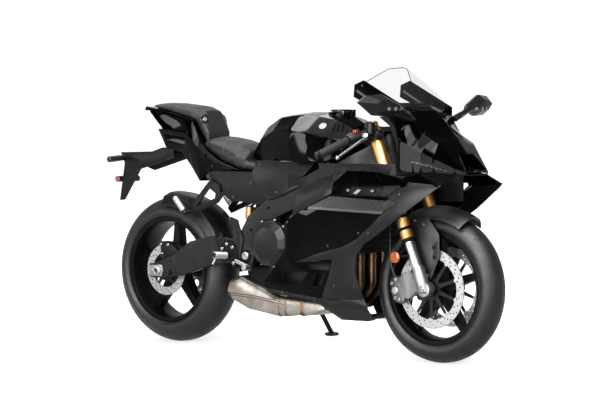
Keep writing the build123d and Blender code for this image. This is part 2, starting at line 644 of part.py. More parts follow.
def rear_hugger():
    """The inner mudguard on the swingarm, over the front top of the tyre."""
    clear = 18
    outer = [(0, REAR_TYRE_R + clear + 6)] + [(y, r + clear) for y, r in HUGGER[1:]]
    inner = [(max(y - 3, 0), r - 4) for y, r in outer]
    profile = [(-y, r) for y, r in reversed(outer)] + outer[1:] + list(reversed(inner)) + [(-y, r) for y, r in inner[1:]]
    face = make_face(Polyline(*[(0, y, REAR_AXLE.Z + r) for y, r in profile], close=True))
    axis = Axis((0, 0, REAR_AXLE.Z), (0, -1, 0))
    return [revolve(face, axis=axis, revolution_arc=72).rotate(axis, -68)]


# ---- side stand geometry --------------------------------------------------------------------------
STAND_PIVOT = Vector(600, 146, 262)
STAND_FOOT_PARKED = Vector(640, 268, 0)      # on the floor when leaned over


def upright(point):
    """A point of the parked machine, in the upright frame."""
    a = radians(LEAN)
    return Vector(point.X, point.Y * cos(a) - point.Z * sin(a), point.Y * sin(a) + point.Z * cos(a))


STOWED = Vector(-0.97, 0.10, 0.20)
STAND_DOWN = (upright(STAND_FOOT_PARKED) - STAND_PIVOT).normalized()
STAND_AXIS = STAND_DOWN.cross(STOWED).normalized()
STAND_EYE = 22.0      # length of the eye along its bolt


# ---- engine, exhaust and cooling -------------------------------------------------------------------
CRANKCASE = [(592, 330), (600, 275), (640, 240), (985, 240), (1012, 275), (1006, 455), (1034, 560), (1026, 690),
             (890, 735), (835, 560), (650, 545), (600, 470)]
BLOCK_HALF = 96.0
CASE_HALF = 117.0
SIDE_CASE = [(662, 290), (690, 262), (950, 262), (992, 300), (992, 470), (820, 528), (700, 510), (662, 470)]
CLUTCH = Vector(670, 0, 458)


# the lugs that hang the engine between the frame's plates; their faces meet the plates' inner faces
ENGINE_LUG = [(602, 474), (594, 522), (604, 550), (640, 554), (656, 546), (640, 500)]
ENGINE_LUG_OUT = 123.9


def engine_block():
    body = slab(CRANKCASE, -BLOCK_HALF, BLOCK_HALF)
    for lug in both(slab(ENGINE_LUG, BLOCK_HALF - 1, ENGINE_LUG_OUT)):
        body += lug
    front = slab([(662, 200), (1100, 200), (1100, 590), (662, 590)], -CASE_HALF, CASE_HALF)
    body += slab(CRANKCASE, -CASE_HALF, CASE_HALF) & front
    centre = Vector(FRONT_SPROCKET[0], 0, FRONT_SPROCKET[1])
    body += ring(centre, BLOCK_HALF - 1, CHAIN_Y + 10, 12, 0)
    boss = STAND_PIVOT - STAND_AXIS * (STAND_EYE / 2 + PLAY)
    bracket = slab([(610, 330), (584, 300), (584, 276), (630, 262), (661, 262), (661, 330)], BLOCK_HALF - 1, 126)
    bracket += rod(boss - STAND_AXIS * 14, boss, 17)
    bracket += rod(boss, STAND_PIVOT + STAND_AXIS * (STAND_EYE / 2 + 1), 6)
    bracket += rod(STAND_PIVOT + STAND_AXIS * (STAND_EYE / 2 + PLAY), STAND_PIVOT + STAND_AXIS * (STAND_EYE / 2 + 6), 11)
    return [body + bracket]


def hex_cover(centre, y_back, y_mid, y_front, radius, front_radius):
    """A cast cover: a faceted drum with a chamfered rim."""
    wide = [(centre.X + radius * cos(radians(a)), centre.Z + radius * sin(radians(a))) for a in range(15, 375, 30)]
    near = [(centre.X + front_radius * cos(radians(a)), centre.Z + front_radius * sin(radians(a))) for a in range(15, 375, 30)]
    drum = slab(wide, min(y_back, y_mid), max(y_back, y_mid))
    dome = ruled([[(x, y_mid, z) for x, z in wide], [(x, y_front, z) for x, z in near]])
    return drum + dome


def engine_covers():
    """Side cases and the drum covers over clutch and alternator."""
    right = slab(SIDE_CASE, -156, -CASE_HALF) + hex_cover(CLUTCH, -155.5, -190, -208, 96, 68)
    left = slab(SIDE_CASE, CASE_HALF, 156) + hex_cover(Vector(770, 0, 420), 155.5, 178, 192, 86, 62)
    guard = slab([(580, 340), (664, 330), (664, 470), (600, 470), (580, 440)], 124, 140)
    return [right, left + guard]


PORTS = (-78.0, 0.0, 78.0)
PIPE_R = 19.0


def exhaust_headers():
    pipes = []
    for y in PORTS:
        run = [(1028, y, 596), (1064, y, 566), (1064, y, 300), (1010, y * 0.86, 216), (912, y * 0.72, 204)]
        pipes.append(bent_rod(run, 34, PIPE_R))
    block = engine_block()[0]
    return [pipe_ - block for pipe_ in pipes]


MUFFLER = [(366, 240), (384, 290), (440, 312), (560, 268), (640, 234), (906, 226), (908, 184), (850, 165), (640, 150),
           (482, 172), (398, 205)]


def muffler():
    """The collector box under the engine and behind it, wide and flat-bottomed."""
    lower = slab(MUFFLER, -112, 112)
    return [lower]


RADIATOR_FOOT = Vector(1140, 0, 436)
RADIATOR_TOP = Vector(1098, 0, 700)


def radiator():
    up = (RADIATOR_TOP - RADIATOR_FOOT).normalized()
    back = Vector(-up.Z, 0, up.X)
    height = (RADIATOR_TOP - RADIATOR_FOOT).length
    body = None
    rows = 12
    for i in range(rows * 2 + 1):
        low = RADIATOR_FOOT + up * (height * i / (rows * 2 + 1))
        high = RADIATOR_FOOT + up * (height * (i + 1) / (rows * 2 + 1))
        inset, half = (0, 166) if i % 2 == 0 else (5, 150)
        corners = [low + back * inset, high + back * inset, high + back * (30 - inset), low + back * (30 - inset)]
        fin = slab([side_of(c) for c in corners], -half, half)
        body = fin if body is None else body + fin
    for tank in both(slab([side_of(c) for c in (RADIATOR_FOOT, RADIATOR_TOP, RADIATOR_TOP + back * 30,
                                                  RADIATOR_FOOT + back * 30)], -168, -149)):
        body += tank
    for lug in both(slab([(1076, 680), (1092, 680), (1084, 730), (1068, 730)], -94, -84)):
        body += lug
    for spar in both(beam(SPAR)):
        body -= spar
    return [body]


# ---- tank, seats and tail --------------------------------------------------------------------------
TANK = [   # x, floor z, floor y, shoulder z, shoulder y, rim z, rim y, top z
    (484, 802, 60, 818, 74, 826, 58, 834), (556, 798, 104, 888, 104, 934, 62, 946),
    (646, 798, 132, 922, 130, 978, 78, 990), (756, 798, 160, 925, 166, 988, 96, 1000),
    (868, 798, 180, 915, 178, 984, 104, 1000), (958, 800, 186, 900, 166, 968, 98, 990),
    (1030, 828, 156, 886, 136, 934, 80, 952),
]
LID = Vector(905, 0, 0)
LID_R = 46.0
LID_Z = 1001.0
LID_PIN = Vector(LID.X + 56, 0, LID_Z + 5)      # the flap's hinge line
LID_PIN_R, LID_BARREL_R = 2.0, 4.4
LID_EAR_IN, LID_EAR_OUT = 10.0, 15.0


def fuel_tank():
    sections = []
    for x, floor_z, floor_y, shoulder_z, shoulder_y, rim_z, rim_y, top_z in TANK:
        half = [(0, top_z), (rim_y, rim_z), (shoulder_y, shoulder_z), (floor_y, floor_z), (0, floor_z)]
        sections.append(half_section(x, half))
    body = ruled(sections)
    body += rod((LID.X, 0, LID_Z - 30), (LID.X, 0, LID_Z), LID_R + 10)
    ear = [(LID_PIN.X - 6, LID_Z - 16), (LID_PIN.X + 6, LID_Z - 16), (LID_PIN.X + 6, LID_Z + 10), (LID_PIN.X - 6, LID_Z + 10)]
    for side in both(slab(ear, -LID_EAR_OUT, -LID_EAR_IN)):
        body += side
    return [body + ring(LID_PIN, -LID_EAR_OUT, LID_EAR_OUT, LID_PIN_R, 0)]


def fuel_lid():
    """The filler cap's flap, with a tongue forward to its hinge barrel."""
    flap = rod((LID.X, 0, LID_Z + PLAY), (LID.X, 0, LID_Z + 9), LID_R)
    tongue = slab([(LID.X + LID_R - 8, LID_Z + PLAY), (LID_PIN.X, LID_Z + PLAY + 0.5), (LID_PIN.X, LID_Z + 9),
                   (LID.X + LID_R - 8, LID_Z + 9)], -LID_EAR_IN + PLAY, LID_EAR_IN - PLAY)
    barrel = ring(LID_PIN, -LID_EAR_IN + PLAY, LID_EAR_IN - PLAY, LID_BARREL_R, 0)
    return [merged(flap, tongue, barrel) - ring(LID_PIN, -LID_EAR_IN, LID_EAR_IN, LID_PIN_R + PLAY, 0)]


TAIL = [   # x, top z, top y, waist z, waist y, low z, low y
    (-150, 1020, 56, 1002, 62, 852, 44), (-30, 1004, 80, 980, 92, 838, 66), (96, 980, 92, 930, 112, 826, 92),
    (160, 962, 98, 900, 122, 764, 100), (212, 868, 104, 848, 126, 704, 106), (270, 828, 114, 808, 132, 744, 116),
    (350, 789, 124, 778, 134, 750, 122), (440, 762, 124, 758, 130, 750, 118), (530, 756, 104, 754, 110, 748, 100),
]


def tail_top(x):
    """Height of the tail's deck, on which the seats rest."""
    for (x0, z0, *_), (x1, z1, *_) in zip(TAIL, TAIL[1:]):
        if x <= x1:
            return z0 + (z1 - z0) * (x - x0) / (x1 - x0)
    return TAIL[-1][1]


SEAT = [   # x, half width, edge z, crown z
    (233, 104, 866, 886), (275, 114, 866, 893), (350, 126, 846, 880), (430, 128, 816, 860), (478, 120, 800, 838),
]
SEAT_TONGUE = [(477, 118, 786, 795), (530, 100, 778, 792)]     # under the back of the tank
PASSENGER = [(-110, 52, 1022, 1030), (-40, 66, 1012, 1034), (40, 82, 1000, 1032), (140, 88, 986, 1022),
             (196, 80, 962, 1002), (229, 70, 906, 916)]


def seat_pad(rows):
    sections = []
    breaks = [x for x, *_ in TAIL if rows[0][0] < x < rows[-1][0] and x not in [row[0] for row in rows]]
    for x in breaks:      # a section wherever the deck below it bends
        after = next(i for i, row in enumerate(rows) if row[0] > x)
        a, b = rows[after - 1], rows[after]
        t = (x - a[0]) / (b[0] - a[0])
        rows = rows[:after] + [tuple(p + (q - p) * t for p, q in zip(a, b))] + rows[after:]
    for x, half, edge, crown in rows:
        under = tail_top(x) + PLAY
        sections.append(half_section(x, [(0, crown), (half * 0.62, crown - 5), (half, edge), (half * 0.94, under), (0, under)]))
    return ruled(sections)


TAIL_END = [(-200, 1003), (-118, 1003), (-26, 924), (-60, 923), (-18, 846), (-18, 700), (-200, 700)]
TAIL_CAVITY = [(-104, 999), (66, 973), (108, 962), (148, 906), (-18, 923)]    # the dark gap under the top fin
TAIL_SLIT = [(-26, 902), (134, 889), (122, 856), (10, 866)]
CAVITY_Y, SLIT_Y = 58.0, 76.0


def tail_cowl():
    """The tail: its deck carries the seats, and its sides are two fins with gaps between them."""
    body = ruled([half_section(x, [(0, top), (top_y, top), (waist_y, waist), (low_y, low), (0, low)])
                  for x, top, top_y, waist, waist_y, low, low_y in TAIL])
    body -= slab(TAIL_END, -200, 200)
    for side in (-200, 0):
        body -= slab(TAIL_CAVITY, side + (0 if side else CAVITY_Y), side + 200 - (CAVITY_Y if side else 0))
        body -= slab(TAIL_SLIT, side + (0 if side else SLIT_Y), side + 200 - (SLIT_Y if side else 0))
    return [body]


def tail_light():
    """A bar across the end of the tail's core."""
    return [slab([(-60, 950), (-32, 926), (-26.6, 924.2), (-60.5, 923.3), (-70, 944), (-78, 962)], -50, 50) - tail_cowl()[0]]


PLATE_TOP = [(-50, 842), (-107, 824), (-296, 818), (-296, 812), (-107, 817), (-50, 834)]
PLATE_CHEEK = [(18, 838), (-50, 840), (-107, 822), (-296, 818), (-265, 756), (-205, 738), (18, 800)]
BLADE_TOP = ((-262, 66, 790), (-344, 14, 606))      # x, half width, z at its top and its tip


def plate_bracket():
    """The tray behind the tail with its cheeks, indicators, reflectors and a blank plate blade."""
    body = merged(slab(PLATE_TOP, -62, 62), *both(slab(PLATE_CHEEK, -62, -58)))
    body += ruled([[(x - 4, -y, z - 2), (x + 4, -y, z + 2), (x + 4, y, z + 2), (x - 4, y, z - 2)] for x, y, z in BLADE_TOP])
    for side in (-1, 1):
        body += rod((-270, 50 * side, 796), (-284, 150 * side, 788), 12)
        body += rod((-314, 22 * side, 700), (-314, 64 * side, 700), 13)
    return [body - tail_cowl()[0]]


# ---- bodywork ----------------------------------------------------------------------------------------
LEVELS = (812, 700, 610, 520, 420, 300, 205, 146)     # heights of the fairing's section points
FAIRING = [   # x, then how far out the skin stands at each level, top to bottom
    (600, 196, 214, 222, 214, 205, 194, 172, 118), (800, 204, 222, 230, 218, 207, 194, 168, 118),
    (1000, 208, 232, 240, 226, 210, 188, 158, 112), (1160, 208, 238, 246, 230, 208, 184, 146, 92),
    (1310, 196, 240, 248, 234, 206, 180, 140, 80), (1450, 172, 232, 238, 226, 200, 170, 130, 70),
    (1575, 150, 216, 220, 208, 190, 160, 120, 60),
]


def skin_out(x, z):
    """How far out the fairing's outer face stands at (x, z)."""
    def at_level(row):
        for i in range(len(LEVELS) - 1):
            if z >= LEVELS[i + 1]:
                return row[i + 1] + (row[i + 2] - row[i + 1]) * (LEVELS[i] - z) / (LEVELS[i] - LEVELS[i + 1])
        return row[-1]
    for a, b in zip(FAIRING, FAIRING[1:]):
        if x <= b[0]:
            t = (x - a[0]) / (b[0] - a[0])
            return at_level(a) * (1 - t) + at_level(b) * t
    return at_level(FAIRING[-1])


def skin_side():
    """The right fairing skin before its outline is cut."""
    sections = []
    for x, *outs in FAIRING:
        outer = [(x, -y, z) for y, z in zip(outs, LEVELS)]
        inner = [(x, -y + SKIN, z) for y, z in zip(outs, LEVELS)]
        sections.append(outer + list(reversed(inner)))
    return ruled(sections)


FAIRING_OUTLINE = [   # side view of the whole: up its rear edge, forward over the top, down the front, back below
    (645, 294), (739, 391), (776, 434), (783, 546), (830, 578), (855, 672), (985, 738), (1113, 770), (1259, 765),
    (1367, 746), (1418, 728), (1573, 718), (1416, 607), (1276, 517), (1195, 474), (1151, 426), (1134, 361),
    (1156, 251), (1166, 163), (1127, 155), (1000, 160), (917, 225), (663, 258)]
WEDGE = [(830, 578), (855, 672), (985, 738), (1113, 770), (1047, 720), (1041, 676), (968, 640)]
BAND = [(818, 385), (950, 428), (1085, 461), (1165, 496), (1240, 548), (1293, 589), (1373, 643), (1333, 668),
        (1416, 711), (1418, 728), (1573, 718), (1416, 607), (1276, 517), (1195, 474), (1151, 426), (1134, 361),
        (1156, 251), (942, 243), (995, 337), (1024, 408)]
KEEL = [(658, 273), (941, 242), (1156, 250), (1166, 163), (1127, 155), (1000, 160), (917, 225), (663, 258)]
KEEL_FLOOR = [(1002, 156), (1096, 156), (1108, 162), (1112, 180), (1106, 182), (1100, 166), (1002, 162)]
KEEL_PLAN = [(990, -122), (1166, -103), (1166, 103), (990, 122)]     # (x, y) of the floor between the keels
SLOT = [(1057, 700), (1398, 715), (1330, 669), (1048, 671)]
LOW_VENTS = ([(742, 345), (889, 350), (846, 300), (760, 299)], [(941, 350), (981, 351), (945, 293), (908, 293)])
CHIN = [(838, 372), (1012, 394), (1002, 362), (900, 360)]     # the scoop under the band's tip
INNER_PANEL = [(824, 722), (862, 640), (1060, 628), (1392, 640), (1392, 748), (1336, 752), (1326, 798), (1122, 796),
               (1088, 794), (934, 795), (941, 772)]
INNER_Y, INNER_T = 186.0, 3.0
POSTS = [(905, 688), (1085, 644), (1240, 650), (1120, 742), (1290, 742)]    # from the inner panel to the skin


def side_fairings():
    """The gloss centre panel with its slot and vents, on posts from a dark panel inside it."""
    panel = skin_side() & slab(FAIRING_OUTLINE, -300, 0)
    for outline in (WEDGE, BAND, KEEL):
        panel -= grown(outline, SEAM, -300, 0)
    panel -= [slab(outline, -300, 0) for outline in (SLOT, CHIN, *LOW_VENTS)]
    return both(panel)


def inner_fairings():
    """The panel behind the slot, up to the tank's edge, and its posts out to the skin."""
    panel = slab(INNER_PANEL, -INNER_Y, -INNER_Y + INNER_T)
    for x, z in POSTS:
        panel += rod((x, -INNER_Y, z), (x, -skin_out(x, z) + SKIN + 3, z), 7)
    return both(panel)


def lower_fairings():
    """The satin panels: a wedge above, the band that sweeps back under the slot, and the keel."""
    panels = []
    for outline in (WEDGE, BAND):
        panels += both(skin_side() & slab(outline, -300, 0))
    plan = extrude(make_face(Polyline(*[(x, y, 0) for x, y in KEEL_PLAN], close=True)), amount=300, dir=(0, 0, 1))
    keels = both(skin_side() & slab(KEEL, -300, 0))
    return panels + [merged(slab(KEEL_FLOOR, -200, 200) & plan, *keels)]


def side_covers():
    """The covers between tank and frame."""
    outline = [(583, 797.6), (800, 797.6), (822, 700), (700, 650), (645, 636), (575, 700), (552, 740)]
    return both(slab(outline, -163.3, -153.3))


NOSE = [   # x, roof z, ridge z, ridge y, flank z, flank y, hem z, hem y (0: tucked inside the fairing)
    (1352, 1034, 992, 150, 900, 205, 768, 0), (1420, 984, 915, 126, 862, 190, 766, 0),
    (1450, 951, 899, 123, 845, 179, 765, 0), (1490, 905, 878, 118, 822, 165, 766, 150),
    (1560, 822, 800, 92, 782, 112, 760, 104), (1596, 776, 768, 72, 764, 76, 756, 70),
]


NOSE_TUCK_Z = 782.0    # the fairing's top edge, inside which the nose's hem stands


def nose_points(row):
    x, roof, ridge, ridge_y, flank, flank_y, hem, hem_y = row
    hem_y = hem_y or skin_out(x, NOSE_TUCK_Z) - SKIN - PLAY
    return x, [(0, roof), (ridge_y, ridge), (min(flank_y, hem_y), flank), (hem_y, hem)]


def nose_section(row):
    """One section of the nose's shell, open below."""
    x, outer = nose_points(row)
    inner = [(0, outer[0][1] - SKIN), (outer[1][0] - SKIN, outer[1][1] - SKIN)] + [(y - SKIN, z) for y, z in outer[2:]]
    right = [(x, -y, z) for y, z in outer] + [(x, -y, z) for y, z in reversed(inner)][:-1]
    left = [(x, y, z) for y, z in inner] + [(x, y, z) for y, z in reversed(outer)][:-1]
    return right + left


def nose_filled(grow):
    """The nose as a block, a little larger, for trimming what stands on it."""
    sections = []
    for row in NOSE:
        x, outer = nose_points(row)
        flanks = [(y + grow, z + grow / 2) for y, z in outer[1:-1]]
        hem = (outer[-1][0] + grow, outer[-1][1] - 8)
        sections.append(half_section(x, [(0, outer[0][1] + grow)] + flanks + [hem]))
    return ruled(sections)


STAY_IN, STAY_OUT = 150.0, 154.0


DUCT = [(-44, 838), (44, 838), (66, 774), (-66, 774)]     # the intake's mouth, from the front
DUCT_BACK, DUCT_WALL = 1462.0, 3.0
EAR = [[(1292, -154, 986), (1354, -150, 993), (1354, -205, 899)],
       [(1292, -150, 986), (1354, -146, 993), (1354, -201, 899)]]     # the facet between stay and flank


def duct(grow):
    """The intake's tunnel."""
    mouth = make_face(Polyline(*[(DUCT_BACK, y * (1 + grow / 44), z + grow * (1 if z > 800 else -1)) for y, z in DUCT], close=True))
    return extrude(mouth, amount=200, dir=(1, 0, 0))


def nose_cowl():
    """The nose shell, with an arm back along each edge of the screen."""
    stay = slab([(1090, 1063), (1094, 1112), (1141, 1130), (1356, 1022), (1353, 900), (1320, 925), (1262, 985)],
                -STAY_OUT, -STAY_IN)
    shell = merged(ruled([nose_section(row) for row in NOSE]), *both(stay), *both(ruled(EAR)))
    tunnel = duct(DUCT_WALL) & nose_filled(0)
    return [shell + tunnel - duct(0)]


def winglets():
    """A blade each side, from the nose's hem out to the forward corner of the fairing."""
    blade = ruled([[(1455, -168, 767), (1455, -200, 767), (1455, -200, 763.5), (1455, -168, 763.5)],
                   [(1566, -104, 757), (1566, -213, 715.5), (1566, -213, 712), (1566, -104, 753.5)]])
    trimmed = [part - nose_filled(PLAY) - skin for part, skin in zip(both(blade), both(skin_side()))]
    return [max(part.solids(), key=lambda solid: solid.volume) for part in trimmed]


SCREEN = [   # x, z of the middle, then x, y, z of the edge
    (1222, 1182, 1196, 62, 1176), (1262, 1152, 1150, 149.7, 1124), (1336, 1094, 1250, 149.7, 1072),
    (1372, 1050, 1340, 149.7, 1022), (1392, 1014, 1380, 60, 1006),
]


SCREEN_T = 3.0
SCREEN_BELLY = (0.35, 0.72)   # where the section's shoulder lies, as shares of its run back and out


def windscreen():
    """A bubble screen: each section is an arch from edge to edge in its own leaning plane."""
    along, out = SCREEN_BELLY
    sections = []
    for xc, zc, xe, ye, ze in SCREEN:
        back = Vector(xe - xc, 0, ze - zc)
        thick = back.normalized() * SCREEN_T
        middle = Vector(xc, 0, zc)
        outer = [(middle + back * share, y) for share, y in ((1, ye), (along, ye * out), (0, 0))]
        inner = [(middle + back * share + thick * k, y) for share, y, k in
                 ((1, ye - SCREEN_T, 0), (along, ye * out - SCREEN_T * 0.6, 1), (0, 0, 1))]
        right = [(p.X, -y, p.Z) for p, y in outer]
        left = [(p.X, y, p.Z) for p, y in reversed(outer[:-1])]
        lining = [(p.X, y, p.Z) for p, y in inner] + [(p.X, -y, p.Z) for p, y in reversed(inner[:-1])]
        sections.append(right + left + lining)
    return [ruled(sections) - nose_filled(PLAY)]


def position_lamps():
    lamp = slab([(1400, 818), (1440, 796), (1560, 764), (1500, 790)], -230, -60)
    return [part for part in both((nose_filled(4 + PLAY) - nose_filled(PLAY)) & lamp)]


MIRROR_EYE = [   # the glass's outline: how far out, height
    (441, 1042), (398, 1068), (321, 1074), (217, 1030), (205, 1010), (278, 986), (364, 990)]
MIRROR_MIDDLE = (318, 1030)
MIRROR_SWEEP = 0.165          # how far the head's outer end leans back, for each millimetre out
MIRROR_ROOT_X = 1371.0        # of the glass, abreast of its inner end
MIRROR_DEPTH = 52.0


def mirrors():
    """Almond-shaped heads, deepest in the middle, on stalks from the nose."""
    def face(ahead, share):
        points = []
        for out, z in MIRROR_EYE:
            y = MIRROR_MIDDLE[0] + (out - MIRROR_MIDDLE[0]) * share
            x = MIRROR_ROOT_X + ahead - (y - MIRROR_EYE[4][0]) * MIRROR_SWEEP
            points.append((x, -y, MIRROR_MIDDLE[1] + (z - MIRROR_MIDDLE[1]) * share))
        return points
    head = ruled([face(0, 0.97), face(12, 1.0), face(MIRROR_DEPTH, 0.5)])
    stalk = rod((1375, -134, 977), (1392, -232, 1016), 10)
    return both((stalk + head) - nose_filled(PLAY))


def instrument_dash():
    """The display, on the stay that bolts to the steering head and carries the nose and screen."""
    dash = slab([(1228, 1004), (1240, 1060), (1270, 1060), (1276, 1004)], -85, 85)
    root = fork_point(600, HEAD_TUBE_R + PLAY)
    stay = slab([(root.X, root.Z - 22), (root.X, root.Z + 22), (1290, 930), (1262, 1006), (1290, 1006), (1352, 900),
                 (1320, 870)], -16, 16)
    arms = slab([(1352, 900), (1330, 900), (1312, 975), (1340, 975)], -STAY_IN + PLAY, STAY_IN - PLAY)
    return [merged(dash, stay, arms) - rod(fork_point(500, 0), fork_point(700, 0), HEAD_TUBE_R + PLAY)]


# ---- footrests ---------------------------------------------------------------------------------------
def footrest_brackets():
    """Rider's footrest plates on the frame, each with its peg and pedal."""
    plate = slab([(430, 560), (470, 548), (500, 470), (490, 410), (488, 372), (440, 362), (408, 392), (446, 452)], -156, -150.3)
    peg = rod((430, -150.5, 396), (418, -246, 402), 11)
    pedal = rod((462, -160, 380), (560, -176, 352), 7) + rod((560, -172, 352), (562, -222, 352), 8)
    return both(merged(plate, peg, pedal))


HANGER = [(283, 700), (300, 714), (345, 690), (360, 640), (340, 616), (186, 558), (166, 580)]
HANGER_GAP = [(290, 676), (326, 654), (322, 634), (212, 592)]


def passenger_footrests():
    """Open hangers below the tail's rails, with the pegs folded up behind them."""
    hanger = slab(HANGER, -RAIL_OUT - 8, -RAIL_OUT) - slab(HANGER_GAP, -200, 0)
    peg = rod((184, -RAIL_OUT - 4, 572), (178, -158, 572), 9) + rod((178, -158, 566), (112, -160, 640), 10)
    return both(hanger + peg)


RAIL_IN, RAIL_OUT = 104.0, 124.7


def subframe():
    """The rails from the frame back under the tail."""
    under = [(x, low - PLAY) for x, *_, low, _ in TAIL if x >= 270]
    return both(slab(under + [(600, 742), (700, 668), (650, 632), (560, 612), (476, 622), (410, 622), (296, 694), (284, 730)], -RAIL_OUT, -RAIL_IN))


# ---- side stand --------------------------------------------------------------------------------------
def side_stand():
    foot_low = upright(STAND_FOOT_PARKED)
    foot_top = upright(STAND_FOOT_PARKED + Vector(0, 0, 8))
    leg = rod(STAND_PIVOT, foot_top, 10)
    floor_normal = upright(Vector(0, 0, 1))
    pad_plane = Plane(origin=foot_low, x_dir=(1, 0, 0), z_dir=floor_normal)
    pad = extrude(pad_plane * Ellipse(34, 22), amount=8)
    eye = rod(STAND_PIVOT - STAND_AXIS * (STAND_EYE / 2), STAND_PIVOT + STAND_AXIS * (STAND_EYE / 2), 20)
    bolt = rod(STAND_PIVOT - STAND_AXIS * STAND_EYE, STAND_PIVOT + STAND_AXIS * STAND_EYE, 6 + PLAY)
    below = extrude(pad_plane * Rectangle(300, 300), amount=-60)
    return [merged(leg, pad, eye) - below - bolt]


# ---- the machine ---------------------------------------------------------------------------------------
NODES = {
    "front_tyre": front_tyre, "front_wheel": front_wheel, "front_brake_discs": front_discs,
    "rear_tyre": rear_tyre, "rear_wheel": rear_wheel, "rear_brake_disc": rear_disc,
    "rear_sprocket": rear_sprocket, "fork_outer_tubes": fork_outer_tubes,
    "fork_inner_tubes": fork_inner_tubes, "axle_carriers": axle_carriers, "front_axle": front_axle,
    "upper_triple_clamp": upper_clamp, "lower_triple_clamp": lower_clamp, "handlebars": handlebars,
    "grips": grips, "hand_controls": hand_controls, "front_brake_calipers": front_calipers,
    "front_fender": front_fender, "main_frame": main_frame, "swingarm": swingarm, "stand_bosses": stand_bosses, "rear_axle": rear_axle,
    "rear_brake_caliper": rear_caliper, "shock_absorber": shock_absorber, "drive_chain": drive_chain,
    "rear_hugger": rear_hugger, "engine_block": engine_block, "engine_covers": engine_covers,
    "exhaust_headers": exhaust_headers, "muffler": muffler, "radiator": radiator, "fuel_tank": fuel_tank,
    "fuel_lid": fuel_lid, "rider_seat": lambda: [seat_pad(SEAT) + seat_pad(SEAT_TONGUE)],
    "passenger_seat": lambda: [seat_pad(PASSENGER)], "tail_cowl": tail_cowl, "tail_light": tail_light,
    "plate_bracket": plate_bracket, "side_fairings": side_fairings, "lower_fairings": lower_fairings, "inner_fairings": inner_fairings,
    "side_covers": side_covers, "nose_cowl": nose_cowl, "winglets": winglets, "windscreen": windscreen,
    "position_lamps": position_lamps, "mirrors": mirrors, "instrument_dash": instrument_dash,
    "footrest_brackets": footrest_brackets, "passenger_footrests": passenger_footrests,
    "subframe": subframe, "side_stand": side_stand,
}


def park(shape):
    """Lean the upright machine on to its stand."""
    return shape.rotate(Axis.X, -LEAN)


def parked_nodes():
    """Every node, leaned over, and the move that sets the whole on the library's origin."""
    nodes = {}
    for name, make in NODES.items():
        nodes[name] = park(Compound(children=[s for part in make() for s in part.solids()]))
    box = Compound(children=[Compound(node.wrapped) for node in nodes.values()]).bounding_box()
    return nodes, Location((-(box.min.X + box.max.X) / 2, -(box.min.Y + box.max.Y) / 2, -box.min.Z)), box


def main():
    os.makedirs("parts", exist_ok=True)
    nodes, shift, box = parked_nodes()
    for name, node in nodes.items():
        export_step(shift * node, f"parts/{name}.step")
    print("box", box, "shift", shift.position)


if __name__ == "__main__":
    main()
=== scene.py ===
import json
from math import cos, pi, radians, sin

import bmesh
import bpy
from mathutils import Matrix, Vector
from mathutils.bvhtree import BVHTree


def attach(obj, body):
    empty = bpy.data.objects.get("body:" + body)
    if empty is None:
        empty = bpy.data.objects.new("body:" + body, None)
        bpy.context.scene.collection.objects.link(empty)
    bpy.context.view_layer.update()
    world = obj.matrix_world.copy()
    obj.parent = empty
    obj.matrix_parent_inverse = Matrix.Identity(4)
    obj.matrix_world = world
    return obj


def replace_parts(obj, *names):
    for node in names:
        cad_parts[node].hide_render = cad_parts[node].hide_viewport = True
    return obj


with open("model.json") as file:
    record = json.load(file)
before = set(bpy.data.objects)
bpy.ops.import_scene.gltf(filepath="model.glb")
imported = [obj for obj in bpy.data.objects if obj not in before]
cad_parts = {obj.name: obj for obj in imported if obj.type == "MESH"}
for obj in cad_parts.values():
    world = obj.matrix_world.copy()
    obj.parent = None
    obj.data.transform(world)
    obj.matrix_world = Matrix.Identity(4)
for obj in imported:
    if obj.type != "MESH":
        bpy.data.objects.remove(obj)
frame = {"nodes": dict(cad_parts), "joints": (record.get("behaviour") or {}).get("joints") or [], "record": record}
NODES = frame["nodes"]
JOINTS = {joint["name"]: joint for joint in frame["joints"]}
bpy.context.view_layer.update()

# The machine is drawn upright, in millimetres, as in the CAD source: origin on the ground under the
# rear axle, +X forward, +Y left, +Z up. TO_ROW leans it on to its stand and sets it in the row frame.
MM = 0.001
LEAN = radians(10.0)
WHEELBASE = 1420.0
REAR_TYRE_R = 315.0
FRONT_TYRE_R = 300.0
REAR_AXLE = (0.0, 0.0, REAR_TYRE_R)
FRONT_AXLE = (WHEELBASE, 0.0, FRONT_TYRE_R)
REAR_AXLE_IN_ROW = Vector(JOINTS["rear_wheel_spin"]["pos_m"])
FRONT_AXLE_IN_ROW = Vector(JOINTS["front_wheel_spin"]["pos_m"])
LEANED = Matrix.Rotation(-LEAN, 4, "X")
TO_ROW = Matrix.Translation(REAR_AXLE_IN_ROW - LEANED @ Vector((0, 0, REAR_TYRE_R * MM))) @ LEANED
TO_BIKE = TO_ROW.inverted()
SIDES = {-1: "right", 1: "left"}  # the sign of y on each side of the machine
RIGHT = (0, -1, 0)
UP = (0, 0, 1)
made = {}  # the materials made so far, by name


def add_object(name, data):
    thing = bpy.data.objects.new(name, data)
    bpy.context.scene.collection.objects.link(thing)
    return thing


# ---- camera ----
PHOTO_WIDTH = 600
FOCAL_PIXELS = 2571.08  # the lens, in pixels of a picture PHOTO_WIDTH across
SENSOR = 36.0
CAMERA_AZIMUTH = radians(39.949)
CAMERA_ELEVATION = radians(2.277)
CAMERA_ROLL = radians(0.132)
CAMERA_DISTANCE = 10740.6
CAMERA_TARGET = Vector((700.0, 0.0, 500.0))
CAMERA_SLIDE = (-14.077, 132.4)  # of the camera from that line, right and up


